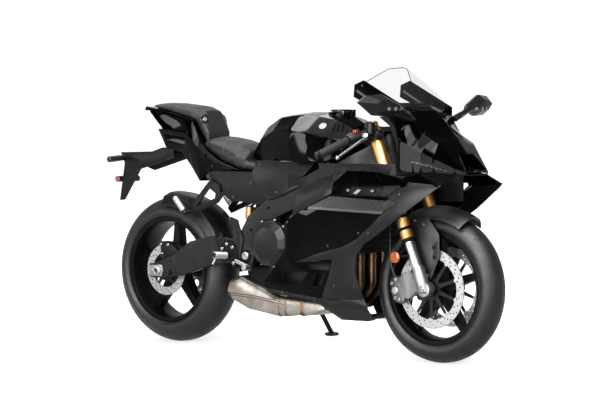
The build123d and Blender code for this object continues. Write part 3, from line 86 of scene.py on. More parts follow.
def camera_place():
    """The camera's place, and its directions right, up and back."""
    back = Vector((sin(CAMERA_AZIMUTH) * cos(CAMERA_ELEVATION),
                   -cos(CAMERA_AZIMUTH) * cos(CAMERA_ELEVATION),
                   sin(CAMERA_ELEVATION)))
    right = (-back).cross(Vector(UP)).normalized()
    up = right.cross(-back)
    c, s = cos(CAMERA_ROLL), sin(CAMERA_ROLL)
    right, up = right * c + up * s, up * c - right * s
    place = CAMERA_TARGET + back * CAMERA_DISTANCE + right * CAMERA_SLIDE[0] + up * CAMERA_SLIDE[1]
    return place, right, up, back


def add_camera():
    place, right, up, back = camera_place()
    axes = Matrix((right, up, back)).transposed().to_4x4()
    data = bpy.data.cameras.new("camera")
    data.sensor_width = SENSOR
    data.lens = FOCAL_PIXELS / PHOTO_WIDTH * SENSOR
    data.clip_end = 200
    camera = add_object("camera", data)
    camera.matrix_world = TO_ROW @ Matrix.Translation(place * MM) @ axes
    bpy.context.scene.camera = camera


# ---- shape helpers, in the upright machine's millimetres ----
RAY_START = 600  # to the side, beyond every piece
SOCKET_SIDES = 6
SOFT_ANGLE = radians(28)  # edges sharper than this are bevelled
TREES = {}


def tree_of(name):
    """A node's surface in the upright frame, for finding where a piece sits on it."""
    if name not in TREES:
        mesh = NODES[name].data
        TREES[name] = BVHTree.FromPolygons([TO_BIKE @ vertex.co / MM for vertex in mesh.vertices],
                                           [list(face.vertices) for face in mesh.polygons])
    return TREES[name]


def cast(name, start, direction):
    """Where a ray meets a node, with the surface's direction there."""
    place, normal, *_ = tree_of(name).ray_cast(Vector(start), Vector(direction).normalized())
    if place is None:
        raise RuntimeError(f"no surface of {name} from {tuple(start)}")
    if normal.dot(Vector(direction)) > 0:
        normal = -normal
    return place, normal


def on_side(name, x, z, side=-1):
    return cast(name, (x, side * RAY_START, z), (0, -side, 0))


def add_loft(bm, loops, closed=False):
    """Joins loops of equally many points, in order; then the last to the first, or it caps both ends."""
    rings = [[bm.verts.new(point) for point in loop] for loop in loops]
    count = len(rings[0])
    for a, b in zip(rings, rings[1:] + (rings[:1] if closed else [])):
        for i in range(count):
            bm.faces.new((a[i], a[(i + 1) % count], b[(i + 1) % count], b[i]))
    if not closed:
        bm.faces.new(list(reversed(rings[0])))
        bm.faces.new(rings[-1])


def add_prism(bm, outline, y0, y1):
    """A plate with a side view outline of (x, z)."""
    add_loft(bm, [[(x, y, z) for x, z in outline] for y in (y0, y1)])


def add_plate(bm, corners, *moves):
    """A plate between copies of its corners."""
    add_loft(bm, [[corner + Vector(move) for corner in corners] for move in moves])


def ring_of(centre, radius, start, count, step):
    """Points round a centre, from start degrees on."""
    angles = [radians(start + i * step) for i in range(count)]
    return [(centre[0] + radius * cos(angle), centre[1] + radius * sin(angle)) for angle in angles]


def spokes(first, second, count):
    """Directions round a circle, from first towards second."""
    return [first * cos(2 * pi * i / count) + second * sin(2 * pi * i / count) for i in range(count)]


def spokes_about(axis, count):
    """The axis made one long, and the directions round it."""
    axis = Vector(axis).normalized()
    first = axis.orthogonal().normalized()
    return axis, spokes(first, axis.cross(first), count)


def add_drum(bm, centre, axis, profile, count=24):
    """A round piece: profile is a list of (distance along the axis, radius)."""
    axis, outs = spokes_about(axis, count)
    add_loft(bm, [[Vector(centre) + axis * distance + out * radius for out in outs]
                  for distance, radius in profile])


def add_bolt(bm, centre, axis, radius, height=None):
    """A socket-head bolt: a chamfered head with a six-sided recess."""
    axis, outs = spokes_about(axis, SOCKET_SIDES * 2)
    height = radius * 0.7 if height is None else height
    flat = cos(pi / SOCKET_SIDES)
    loops = []
    for distance, share, between in ((-1.0, 1.0, 1.0), (height * 0.75, 1.0, 1.0), (height, 0.86, 1.0),
                                     (height, 0.52, flat), (height * 0.25, 0.50, flat)):
        middle = Vector(centre) + axis * distance
        loops.append([middle + out * radius * share * (between if i % 2 else 1.0)
                      for i, out in enumerate(outs)])
    add_loft(bm, loops)


def add_bar(bm, start, end, radius, count=16, chamfer=1.0):
    run = Vector(end) - Vector(start)
    length = run.length
    add_drum(bm, start, run, [(0, radius - chamfer), (chamfer, radius), (length - chamfer, radius),
                              (length, radius - chamfer)], count)


# The next four put the same pieces on both sides. Places are (x, distance from the middle, z).
def add_drums(bm, places, profile, count=24):
    for side in SIDES:
        for x, out, z in places:
            add_drum(bm, (x, side * out, z), (0, side, 0), profile, count)


def add_bolts(bm, places, radius, height=None):
    for side in SIDES:
        for x, out, z in places:
            add_bolt(bm, (x, side * out, z), (0, side, 0), radius, height)


def add_bars(bm, bars, *shape):
    for side in SIDES:
        for (x0, out0, z0), (x1, out1, z1), radius in bars:
            add_bar(bm, (x0, side * out0, z0), (x1, side * out1, z1), radius, *shape)


def add_prisms(bm, outline, out0, out1):
    for side in SIDES:
        add_prism(bm, outline, side * out0, side * out1)


def bolts_on(bm, node, places, radius, sides=SIDES):
    """Bolts that sit on a node's sides at (x, z)."""
    for side in sides:
        for x, z in places:
            place, normal = on_side(node, x, z, side)
            add_bolt(bm, place, normal, radius)


def add_bevel(piece, width):
    bevel = piece.modifiers.new("bevel", "BEVEL")
    bevel.width = width * MM
    bevel.segments = 2
    bevel.limit_method = "ANGLE"
    bevel.angle_limit = SOFT_ANGLE
    return bevel


def finish(name, bm, material, body="chassis", bevel=0.0, sharp=32):
    """Makes the piece, moves it from the upright frame to the row's, and says what carries it."""
    bmesh.ops.recalc_face_normals(bm, faces=bm.faces)
    bm.transform(TO_ROW @ Matrix.Scale(MM, 4))
    mesh = bpy.data.meshes.new(name)
    bm.to_mesh(mesh)
    bm.free()
    for face in mesh.polygons:
        face.use_smooth = True
    mesh.set_sharp_from_angle(angle=radians(sharp))
    mesh.materials.append(material_of(material))
    piece = add_object(name, mesh)
    if bevel:
        add_bevel(piece, bevel)
    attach(piece, body)
    return piece


def add_hose(name, points, radius):
    """A plain hose on the steered part, along a smooth line."""
    curve = bpy.data.curves.new(name, "CURVE")
    curve.dimensions = "3D"
    spline = curve.splines.new("NURBS")
    spline.points.add(len(points) - 1)
    for target, point in zip(spline.points, points):
        target.co = (*(TO_ROW @ (Vector(point) * MM)), 1)
    spline.order_u = 4
    spline.use_endpoint_u = True
    curve.bevel_depth = radius * MM
    curve.bevel_resolution = 4
    curve.resolution_u = 12
    curve.use_fill_caps = True
    curve.materials.append(material_of("hose_rubber"))
    piece = add_object(name, curve)
    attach(piece, "steering_body")


# ---- materials ----
def grey(value):
    return (value,) * 3


WHITE = grey(1)
LEVER_SLOPE = 0.4327  # of the line ahead of which the control levers stand
LEVER_AHEAD = 1262.0
LEVER_OUT = 196.0  # how far out the levers start
LEVER_GREY = (0.15, 0.15, 0.155)
DISC_BRIGHT = grey(0.20)
DISC_CARRIER = grey(0.012)


def shader_of(material):
    """The inputs of a material's shader."""
    return material.node_tree.nodes["Principled BSDF"].inputs


def new_material(name, colour, roughness, metallic=0.0, ior=1.5, coat=0.0, specular=0.5):
    material = bpy.data.materials.new(name)
    material.use_nodes = True
    for key, value in (("Base Color", (*colour, 1)), ("Roughness", roughness), ("Metallic", metallic),
                       ("Specular IOR Level", specular), ("Coat Weight", coat), ("Coat Roughness", 0.04),
                       ("IOR", ior)):
        shader_of(material)[key].default_value = value
    return material


def add_node(tree, kind, **inputs):
    """A shader node; an underscore in an input's name stands for a space."""
    node = tree.nodes.new("ShaderNode" + kind)
    for key, value in inputs.items():
        node.inputs[key.replace("_", " ")].default_value = value
    return node


def worked_out(tree, kind, operation, values):
    """A maths node; each value is a number, a vector or another node's socket."""
    node = add_node(tree, kind)
    node.operation = operation
    for socket, value in zip(node.inputs, values):
        if isinstance(value, bpy.types.NodeSocket):
            tree.links.new(value, socket)
        else:
            socket.default_value = value
    return node


def maths(tree, operation, *values):
    return worked_out(tree, "Math", operation, values).outputs[0]


def vector_maths(tree, operation, *values, output="Vector"):
    return worked_out(tree, "VectorMath", operation, values).outputs[output]


def object_place(tree):
    return add_node(tree, "TexCoord").outputs["Object"]


def noise(tree, scale, detail=4.0, stretch=(1, 1, 1)):
    """Noise in object space, finer along an axis with a larger stretch."""
    mapping = add_node(tree, "Mapping", Scale=stretch)
    texture = add_node(tree, "TexNoise", Scale=scale, Detail=detail)
    tree.links.new(object_place(tree), mapping.inputs["Vector"])
    tree.links.new(mapping.outputs["Vector"], texture.inputs["Vector"])
    return texture.outputs["Fac"]


def set_ramp(ramp, *stops):
    """Gives a colour ramp its two stops, each a position and a colour."""
    for element, (position, colour) in zip(ramp.color_ramp.elements, stops):
        element.position = position
        element.color = (*colour, 1)


def mixed(tree, factor, first, second):
    """A mix of two colours, by a factor from 0 to 1."""
    mix = add_node(tree, "Mix")
    mix.data_type = "RGBA"
    mix.inputs["A"].default_value = (*first, 1)
    mix.inputs["B"].default_value = (*second, 1)
    tree.links.new(factor, mix.inputs["Factor"])
    return mix.outputs["Result"]


def bike_axis(tree, axis):
    """The upright frame's x, y or z in millimetres at a point of a piece at rest."""
    row = TO_BIKE[axis]
    along = vector_maths(tree, "DOT_PRODUCT", object_place(tree), tuple(value / MM for value in row[:3]),
                         output="Value")
    return maths(tree, "ADD", along, row[3] / MM)


def surface(name, colour, roughness, spread, scale, grain=None, ior=1.5, metallic=0.0):
    """Roughness that varies between two values in patches, over a grain of (scale, strength, metres)."""
    material = new_material(name, colour, roughness, metallic, ior)
    tree = material.node_tree
    if spread:
        rough = add_node(tree, "MapRange", From_Min=0.3, From_Max=0.7, To_Min=spread[0],
                         To_Max=spread[1])
        tree.links.new(noise(tree, scale), rough.inputs["Value"])
        tree.links.new(rough.outputs["Result"], shader_of(material)["Roughness"])
    if grain:
        bump = add_node(tree, "Bump", Strength=grain[1], Distance=grain[2])
        tree.links.new(noise(tree, grain[0]), bump.inputs["Height"])
        tree.links.new(bump.outputs["Normal"], shader_of(material)["Normal"])
    return material


def satin(name, colour, low=0.32, high=0.42):
    return surface(name, colour, 0.38, (low, high), 60, (900, 0.12, 0.0001), 1.22)


def painted(name, colour, low=0.35, high=0.5, grain=500, ior=1.2, metallic=0.0):
    return surface(name, colour, 0.4, (low, high), 50, (grain, 0.2, 0.0001), ior, metallic)


def metal(name, colour, low, high, scale=60):
    return surface(name, colour, (low + high) / 2, (low, high), scale, metallic=1.0)


def plain(name, colour, roughness, metallic, ior):
    return surface(name, colour, roughness, (roughness * 0.85, roughness * 1.15), 60, (500, 0.1, 0.0001),
                   ior, metallic)


def heated_steel(name, dark, light, low=0.25, high=0.45):
    material = metal(name, light, low, high)
    tree = material.node_tree
    ramp = add_node(tree, "ValToRGB")
    set_ramp(ramp, (0.35, dark), (0.65, light))
    tree.links.new(noise(tree, 14, detail=6.0, stretch=(1, 0.4, 1)), ramp.inputs["Fac"])
    tree.links.new(ramp.outputs["Color"], shader_of(material)["Base Color"])
    return material


def clear_plastic(name, colour):
    """Thin clear sheet: what is behind it shows without being bent."""
    material = new_material(name, colour, 0.08, ior=1.05)
    shader_of(material)["Alpha"].default_value = 0.07
    return material


def lever_and_housing(name, colour):
    """Black switch housings, with the metal levers that stand ahead of and beyond them."""
    material = satin(name, colour)
    tree = material.node_tree
    out = maths(tree, "ABSOLUTE", bike_axis(tree, 1))
    ahead = maths(tree, "ADD", bike_axis(tree, 0), maths(tree, "MULTIPLY", out, LEVER_SLOPE))
    lever = maths(tree, "MULTIPLY", maths(tree, "GREATER_THAN", ahead, LEVER_AHEAD),
                  maths(tree, "GREATER_THAN", out, LEVER_OUT))
    inputs = shader_of(material)
    tree.links.new(mixed(tree, lever, colour, LEVER_GREY), inputs["Base Color"])
    tree.links.new(maths(tree, "MULTIPLY", lever, 0.9), inputs["Metallic"])
    return material


def brake_disc(name, axle, band_inner):
    """Bright drilled steel from band_inner (mm from the axle) outwards, a black carrier inside it."""
    material = metal(name, grey(0.24), 0.40, 0.48, 90)
    tree = material.node_tree
    axle_way = tuple((TO_ROW.to_3x3() @ Vector((0, 1, 0))).normalized())
    away = vector_maths(tree, "SUBTRACT", object_place(tree), tuple(axle))
    across = vector_maths(tree, "CROSS_PRODUCT", away, axle_way)
    radius = vector_maths(tree, "LENGTH", across, output="Value")
    bright = maths(tree, "GREATER_THAN", radius, band_inner * MM)
    tree.links.new(mixed(tree, bright, DISC_CARRIER, DISC_BRIGHT), shader_of(material)["Base Color"])
    return material


# Each line: the function that makes the material, and what it is given after the name. The order is
#   surface: colour, roughness, its lowest and highest, their scale, grain, IOR
#   painted: colour, lowest and highest roughness, scale of the grain, IOR, metallic share
#   satin, metal: colour, lowest and highest roughness
#   heated_steel: dark colour, light colour, lowest and highest roughness
#   plain, new_material: colour, roughness, metallic share, IOR
MATERIALS = {
    "tyre_rubber": (surface, (0.006, 0.006, 0.0062), 0.55, (0.42, 0.6), 30, (700, 0.25, 0.0002), 1.3),
    "wheel_black": (painted, (0.004, 0.004, 0.0043), 0.38, 0.46, 200, 1.12),
    "sprocket_steel": (metal, (0.22, 0.21, 0.20), 0.3, 0.5),
    "fork_gold": (metal, (0.34, 0.18, 0.065), 0.34, 0.42),
    "fork_chrome": (metal, (0.34, 0.34, 0.35), 0.24, 0.26),
    "cast_silver": (painted, (0.13, 0.13, 0.133), 0.36, 0.48, 500, 1.4, 0.9),
    "axle_steel": (metal, (0.20, 0.20, 0.205), 0.3, 0.42),
    "clamp_black": (painted, grey(0.004)),
    "caliper_grey": (painted, (0.06, 0.06, 0.062), 0.3, 0.42, 500, 1.4, 0.7),
    "grip_rubber": (surface, grey(0.005), 0.7, None, 0, (900, 0.4, 0.0004), 1.25),
    "control_black": (lever_and_housing, grey(0.004)),
    "satin_black": (satin, (0.0065, 0.0065, 0.007)),
    "gloss_black": (surface, (0.0006, 0.0006, 0.0007), 0.06, (0.04, 0.08), 40, None, 1.13),
    "frame_grey": (painted, (0.016, 0.016, 0.0165)),
    "swingarm_grey": (painted, (0.012, 0.012, 0.0125)),
    "engine_grey": (painted, grey(0.008), 0.45, 0.65, 300),
    "cover_black": (painted, (0.013, 0.013, 0.0135), 0.28, 0.4),
    "header_bronze": (heated_steel, (0.035, 0.022, 0.012), (0.10, 0.062, 0.032)),
    "muffler_titanium": (heated_steel, (0.15, 0.13, 0.115), (0.26, 0.24, 0.215), 0.3, 0.42),
    "radiator_black": (painted, grey(0.006), 0.5, 0.7),
    "chain_steel": (metal, (0.30, 0.27, 0.22), 0.3, 0.5),
    "shock_steel": (painted, grey(0.02)),
    "seat_cover": (surface, (0.014, 0.014, 0.0145), 0.55, (0.48, 0.62), 80, (1400, 0.35, 0.0003), 1.25),
    "lamp_red": (new_material, (0.22, 0.004, 0.004), 0.1, 0.0, 1.5, 0.5),
    "lamp_clear": (new_material, (0.012, 0.012, 0.013), 0.12, 0.0, 1.2),
    "screen_clear": (clear_plastic, grey(0.12)),
    "display_black": (satin, grey(0.003), 0.2, 0.3),
    "bracket_black": (painted, grey(0.003)),
    "lid_metal": (painted, (0.010, 0.010, 0.011), 0.2, 0.3),
    # of the details
    "bolt_zinc": (plain, grey(0.20), 0.38, 1.0, 1.5),
    "bolt_dark": (plain, grey(0.03), 0.4, 0.8, 1.5),
    "brushed_alloy": (plain, (0.22, 0.22, 0.225), 0.38, 1.0, 1.5),
    "bronze_anodised": (plain, (0.26, 0.12, 0.05), 0.35, 0.9, 1.5),
    "red_plastic": (plain, (0.42, 0.012, 0.012), 0.35, 0.0, 1.4),
    "amber_lens": (plain, (0.75, 0.16, 0.01), 0.15, 0.0, 1.4),
    "led_lens": (plain, (0.22, 0.225, 0.23), 0.15, 0.0, 1.4),
    "mirror_glass": (plain, (0.85, 0.86, 0.87), 0.02, 1.0, 1.5),
    "hose_rubber": (plain, grey(0.006), 0.5, 0.0, 1.3),
    # painted shade: near black for the inside of the tank's louvre slots
    "louvre_shade_black": (plain, grey(0.001), 0.7, 0.0, 1.05),
    "plate_grey": (plain, (0.013, 0.013, 0.0135), 0.3, 0.0, 1.3),
    # painted highlight: a light grey for the raised strip along the blank plates' lower edge
    "bevel_highlight_grey": (plain, (0.07, 0.07, 0.072), 0.35, 0.2, 1.4),
    "badge_grey": (plain, (0.16, 0.16, 0.165), 0.45, 0.6, 1.4),
    "liner_black": (plain, grey(0.003), 0.6, 0.0, 1.15),
    "arm_black": (plain, grey(0.006), 0.45, 0.0, 1.25),
    "weld_brown": (plain, (0.10, 0.055, 0.03), 0.4, 0.9, 1.5),
    "screen_rim": (plain, grey(0.02), 0.3, 0.0, 1.3),
    "reflector_red": (plain, (0.30, 0.008, 0.008), 0.2, 0.0, 1.4),
    "display_glass": (plain, (0.004, 0.004, 0.005), 0.05, 0.0, 1.4),
    "fin_grey": (plain, grey(0.05), 0.4, 0.6, 1.4),
    # of single nodes, in place of their slot's
    "front_disc_steel": (brake_disc, FRONT_AXLE_IN_ROW, 118.0),
    "rear_disc_steel": (brake_disc, REAR_AXLE_IN_ROW, 74.0),
    "fender_satin": (painted, (0.022, 0.022, 0.0225), 0.38, 0.50, 500, 1.25),
    "winglet_black": (painted, grey(0.004), 0.5, 0.6, 500, 1.05),
}
OWN_MATERIAL = {"front_brake_discs": "front_disc_steel", "rear_brake_disc": "rear_disc_steel",
                "front_fender": "fender_satin", "winglets": "winglet_black"}
BEVEL_WIDTH = {"disc_steel": 0.3, "screen_clear": 0.6, "chain_steel": 0.4, "muffler_titanium": 16.0,
               "gloss_black": 2.2, "cover_black": 2.5}
USUAL_BEVEL = 1.2
WELD_REACH = 0.00002  # metres


def material_of(name):
    """A material by its name, made when it is first asked for."""
    if name not in made:
        make, *values = MATERIALS[name]
        made[name] = make(name, *values)
    return made[name]


def dress_nodes():
    """Gives each CAD node its material and softens its edges."""
    for part in frame["record"]["subparts"]:
        slot = part["material_slot"]
        node = NODES[part["node"]]
        node.data.materials.clear()
        node.data.materials.append(material_of(OWN_MATERIAL.get(part["node"], slot)))
        weld = node.modifiers.new("weld", "WELD")
        weld.merge_threshold = WELD_REACH
        bevel = add_bevel(node, BEVEL_WIDTH.get(slot, USUAL_BEVEL))
        rounded = slot != "disc_steel"
        bevel.harden_normals = rounded
        for face in node.data.polygons:
            face.use_smooth = rounded


# ---- tyres ----
TYRE_STEPS = 420  # round the wheel
CROWN_STEPS = 22  # from the middle of the tread to its edge
GROOVE_DEPTH = 3.0
GROOVE_HALF = 2.6  # half a groove's width
GROOVES = 14  # repeats of the pattern round the tyre
GROOVE_SLANT = 0.82  # a slanted groove's width, as a share of what it takes up round the tyre
GROOVE_END = 0.05  # the share of the tread over which a groove runs out
# Each groove: its start in the repeat, its slope, the shares of the tread between which it runs, its side.
GROOVE_LINES = ((0.10, 0.34, 0.10, 0.62, 1), (0.60, 0.34, 0.10, 0.62, -1),
                (0.42, 0.52, 0.58, 0.86, 1), (0.92, 0.52, 0.58, 0.86, -1))


def groove_depth(turn, out, radius):
    """How deep the tread is cut, by the share of a turn and of the tread's half width, signed."""
    share = abs(out)
    depth = 0.0
    for start, slope, low, high, side in GROOVE_LINES:
        if side * out < 0 or not low <= share <= high:
            continue
        phase = (turn * GROOVES - start - slope * share) % 1.0
        off = min(phase, 1 - phase) * 2 * pi * radius / GROOVES * GROOVE_SLANT
        end = min(share - low, high - share) / GROOVE_END
        depth = max(depth, max(0.0, 1 - (off / GROOVE_HALF) ** 2) * min(1.0, end))
    return depth * GROOVE_DEPTH


def add_tyre(name, node, axle, radius, crown, shoulder, flank, body):
    """crown is the tread's radius across, shoulder its degrees each way, flank (out, radius) to the bead."""
    bulge = radius - crown
    half = []
    for i in range(CROWN_STEPS + 1):
        angle = radians(shoulder * i / CROWN_STEPS)
        half.append((crown * sin(angle), bulge + crown * cos(angle), i / CROWN_STEPS))
    half += [(out, r, 2.0) for out, r in flank]  # 2.0 is beyond all grooves
    profile = [(-y, r, -share) for y, r, share in reversed(half[1:])] + half
    rings = []
    for step in range(TYRE_STEPS):
        turn = step / TYRE_STEPS
        c, s = cos(2 * pi * turn), sin(2 * pi * turn)
        ring = []
        for y, r, share in profile:
            r -= groove_depth(turn, share, radius)
            ring.append((axle[0] + r * c, axle[1] + y, axle[2] + r * s))
        rings.append(ring)
    bm = bmesh.new()
    add_loft(bm, rings, closed=True)
    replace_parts(finish(name, bm, "tyre_rubber", body, sharp=60), node)


def add_tyres():
    add_tyre("front_tyre_tread", "front_tyre", FRONT_AXLE, FRONT_TYRE_R, 62.0, 74,
             [(60.0, 249.0), (58.8, 242.0), (55.6, 235.0), (51.0, 228.6), (45.0, 227.6)], "front_wheel_body")
    add_tyre("rear_tyre_tread", "rear_tyre", REAR_AXLE, REAR_TYRE_R, 96.0, 67,
             [(89.6, 250.5), (88.4, 243.0), (84.0, 234.5), (76.6, 228.6), (70.5, 227.6)], "rear_wheel_body")


# ---- seats ----
PAD_VOXEL = 5.0
PAD_FRAMES = 16
PAD_STIFFNESS = 25.0
SEAM_DEPTH = 2.2
SEAM_WIDTH = 5.0


def apply_modifiers(piece):
    """Replaces the piece's mesh by what its modifiers make of it."""
    mesh = bpy.data.meshes.new_from_object(piece.evaluated_get(bpy.context.evaluated_depsgraph_get()))
    piece.modifiers.clear()
    piece.data = mesh


def run_cloth(piece, cap):
    """Swells the pad under slight pressure, and lets no point move further than cap."""
    start = [vertex.co.copy() for vertex in piece.data.vertices]
    cloth = piece.modifiers.new("cloth", "CLOTH")
    settings = cloth.settings
    settings.use_pressure = True
    settings.uniform_pressure_force = 3.0
    settings.effector_weights.gravity = 0.0
    settings.quality = 5
    settings.tension_stiffness = PAD_STIFFNESS
    settings.compression_stiffness = PAD_STIFFNESS
    settings.bending_stiffness = 2.0
    cloth.point_cache.frame_end = PAD_FRAMES
    scene = bpy.context.scene
    for step in range(1, PAD_FRAMES + 1):
        scene.frame_set(step)
    moved = piece.evaluated_get(bpy.context.evaluated_depsgraph_get()).data
    ends = [vertex.co.copy() for vertex in moved.vertices]
    piece.modifiers.remove(cloth)
    scene.frame_set(1)
    for vertex, before, after in zip(piece.data.vertices, start, ends):
        away = after - before
        if away.length > cap * MM:
            away *= cap * MM / away.length
        vertex.co = before + away


def seam_press(seam, place):
    """How deep a seam down each side presses in at a place; seam is (x, y) from back to front."""
    for (x0, y0), (x1, y1) in zip(seam, seam[1:]):
        if x0 <= place.x <= x1:
            line = y0 + (y1 - y0) * (place.x - x0) / (x1 - x0)
            near = min(1.0, max(0.0, 1 - abs(abs(place.y) - line) / SEAM_WIDTH))
            return SEAM_DEPTH * (near * near * (3 - 2 * near))
    return 0.0


def add_pad(name, node, seam, cap):
    """A seat pad: the CAD solid remeshed, swollen, and pressed in along its sewn seam."""
    piece = add_object(name, NODES[node].data.copy())
    remesh = piece.modifiers.new("remesh", "REMESH")
    remesh.mode = "VOXEL"
    remesh.voxel_size = PAD_VOXEL * MM
    soft = piece.modifiers.new("soft", "SMOOTH")
    soft.iterations = 6
    apply_modifiers(piece)
    piece.data.materials.clear()
    piece.data.materials.append(material_of("seat_cover"))
    run_cloth(piece, cap)
    divide = piece.modifiers.new("divide", "SUBSURF")
    divide.levels = divide.render_levels = 1
    apply_modifiers(piece)
    for vertex in piece.data.vertices:
        place = TO_BIKE @ vertex.co / MM
        press = seam_press(seam, place)
        if press:
            place.z -= press
            vertex.co = TO_ROW @ (place * MM)
    for face in piece.data.polygons:
        face.use_smooth = True
    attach(piece, "chassis")
    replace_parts(piece, node)


def add_seats():
    add_pad("rider_seat_pad", "rider_seat", [(245, 62), (350, 76), (430, 78), (478, 72)], 4.0)
    add_pad("passenger_seat_pad", "passenger_seat", [(-100, 34), (40, 54), (140, 60), (205, 52)], 3.0)


# ---- details ----
RAKE = radians(22.58)
STEER_UP = Vector((-sin(RAKE), 0, cos(RAKE)))
STEER_AHEAD = Vector((cos(RAKE), 0, sin(RAKE)))
STEER_OFFSET = 28.4  # of the front axle ahead of the steering axis
STEER_FOOT = Vector(FRONT_AXLE) - STEER_AHEAD * STEER_OFFSET
CLUTCH = (670, 458)
CLUTCH_BOLT_RING = 97
PIVOT_X, PIVOT_Z = 517, 398  # of the swingarm
FILLER_X = 905
FILLER_BOLT_RING = 51


def fork_point(height, ahead=24.0, side=0.0):
    return STEER_FOOT + STEER_UP * height + STEER_AHEAD * ahead + Vector((0, side, 0))


def along_bar(share, side=-1):
    """A point on the handlebar, from its clamp at 0 to its end at 1."""
    return Vector((1163 - 90 * share, side * (146 + 208 * share), 927 - 96 * share))


def add_engine_details():
    bosses = ring_of(CLUTCH, CLUTCH_BOLT_RING, -78, 6, 31) + ring_of(CLUTCH, CLUTCH_BOLT_RING, 118, 2, 28)
    bm = bmesh.new()
    for x, z in bosses:
        add_drum(bm, (x, -150, z), RIGHT, [(0, 11), (20, 11), (24, 9.5)])
    finish("clutch_bosses", bm, "liner_black")
    bm = bmesh.new()
    for x, z in bosses:
        add_bolt(bm, (x, -174, z), RIGHT, 6)
    bolts_on(bm, "engine_covers", [(938, 290), (975, 320), (975, 440)], 6, sides=[-1])
    finish("cover_bolts", bm, "bolt_zinc")
    bm = bmesh.new()
    add_drum(bm, (785, -116, 556), RIGHT, [(0, 26), (44, 26), (48, 23), (52, 23), (56, 19)])
    finish("water_pump_cap", bm, "fin_grey")
    bm = bmesh.new()  # what shows between the engine, the spars and the tank
    add_prism(bm, [(652, 546), (664, 596), (752, 632), (842, 690), (884, 732), (838, 562)], -88, 88)
    add_prism(bm, [(700, 704), (742, 720), (760, 797.4), (1010, 797.4), (1010, 742), (900, 736), (840, 690)],
              -112, 112)
    finish("airbox", bm, "liner_black", bevel=4)
    bm = bmesh.new()
    add_prism(bm, [(468, 352), (592, 352), (602, 300), (586, 262), (540, 262), (500, 296), (470, 318)],
              -92, 92)
    finish("suspension_link_bridge", bm, "liner_black", bevel=4)


def add_frame_details():
    bm = bmesh.new()
    add_drums(bm, [(PIVOT_X, 157, PIVOT_Z)], [(0, 17), (5, 17), (7, 15), (7, 9), (3, 8.5)])
    finish("pivot_nuts", bm, "brushed_alloy")
    bm = bmesh.new()
    add_drums(bm, [(PIVOT_X, 149, PIVOT_Z)], [(0, 27), (3, 27), (4, 25.5), (4, 20), (1, 20)])
    bolts_on(bm, "main_frame", [(542, 508), (640, 604), (1050, 760)], 7)
    finish("frame_plugs", bm, "liner_black")
    bm = bmesh.new()
    add_drum(bm, (478, -88, 548), (0.05, 0, 1), [(0, 14), (4, 18), (52, 18), (56, 14)])
    finish("shock_reservoir", bm, "bronze_anodised")
    bm = bmesh.new()
    add_bar(bm, (480, -86, 562), (533, -86, 556), 7)
    add_bar(bm, (476, -86, 598), (474, -30, 622), 5)
    finish("shock_reservoir_stay", bm, "liner_black")


REARSET = [(372, 396), (380, 430), (412, 456), (452, 446), (474, 404), (470, 352), (446, 346), (432, 380),
           (398, 366)]
REARSET_OUT = 163  # of the plates' outer faces
REARSET_BOLTS = ((392, 424), (418, 444), (449, 432), (456, 366), (382, 404), (404, 386))
PEG_RINGS = 18
HEEL_OUT = 158
# The heel guard's bars, in side view.
HEEL_BARS = (((386, 436), (352, 470)), ((352, 470), (372, 404)), ((400, 446), (378, 490)),
             ((378, 490), (352, 470)))


def add_rearset_details():
    bm = bmesh.new()
    add_prisms(bm, REARSET, 155.5, REARSET_OUT)
    finish("rearset_plates", bm, "liner_black", bevel=1.5)
    bm = bmesh.new()
    add_bolts(bm, [(x, REARSET_OUT, z) for x, z in REARSET_BOLTS], 7)
    finish("rearset_bolts", bm, "bolt_zinc")
    bm = bmesh.new()
    for side in SIDES:
        start = Vector((426, side * 176, 398))
        run = Vector((418.5, side * 244, 401.7)) - start
        add_drum(bm, start, run, [(run.length * i / PEG_RINGS, 15.0 if i % 2 else 13.2)
                                  for i in range(PEG_RINGS + 1)])
    add_bars(bm, [((419, 232, 392), (404, 238, 362), 4), ((562, 182, 352), (562, 223, 352), 11),
                  ((470, 166, 376), (556, 178, 352), 8.5)])
    finish("footpegs", bm, "brushed_alloy")
    bm = bmesh.new()
    add_bars(bm, [((x0, HEEL_OUT, z0), (x1, HEEL_OUT, z1), 5) for (x0, z0), (x1, z1) in HEEL_BARS])
    finish("heel_guards", bm, "liner_black")
    bm = bmesh.new()
    add_bars(bm, [((168, 160, 578), (120, 162, 632), 13)])
    finish("passenger_pegs", bm, "brushed_alloy")


MUFFLER_HALF = 112  # half its width
MUFFLER_CORNER = 15  # the radius of its section's corners
BEAD_PROUD = 0.5


def muffler_loop(x, low, high):
    """A weld bead's path round the muffler's section at x."""
    points = []
    y = MUFFLER_HALF - MUFFLER_CORNER
    top, bottom = high - MUFFLER_CORNER, low + MUFFLER_CORNER
    for centre, start in (((y, top), 0), ((-y, top), 90), ((-y, bottom), 180), ((y, bottom), 270)):
        corner = ring_of(centre, MUFFLER_CORNER + BEAD_PROUD, start, 5, 22.5)
        points += [Vector((x, *point)) for point in corner]
    return points


def add_ring_bead(bm, points, radius, closed=True, count=8):
    """A round bead along a line of points."""
    total = len(points)
    loops = []
    for i, point in enumerate(points):
        before = points[i - 1] if closed or i else point
        after = points[(i + 1) % total] if closed or i < total - 1 else point
        run = (after - before).normalized()
        side = Vector((1, 0, 0)) if abs(run.x) < 0.7 else Vector(UP)
        first = (side - run * side.dot(run)).normalized()
        loops.append([point + out * radius for out in spokes(first, run.cross(first), count)])
    add_loft(bm, loops, closed)


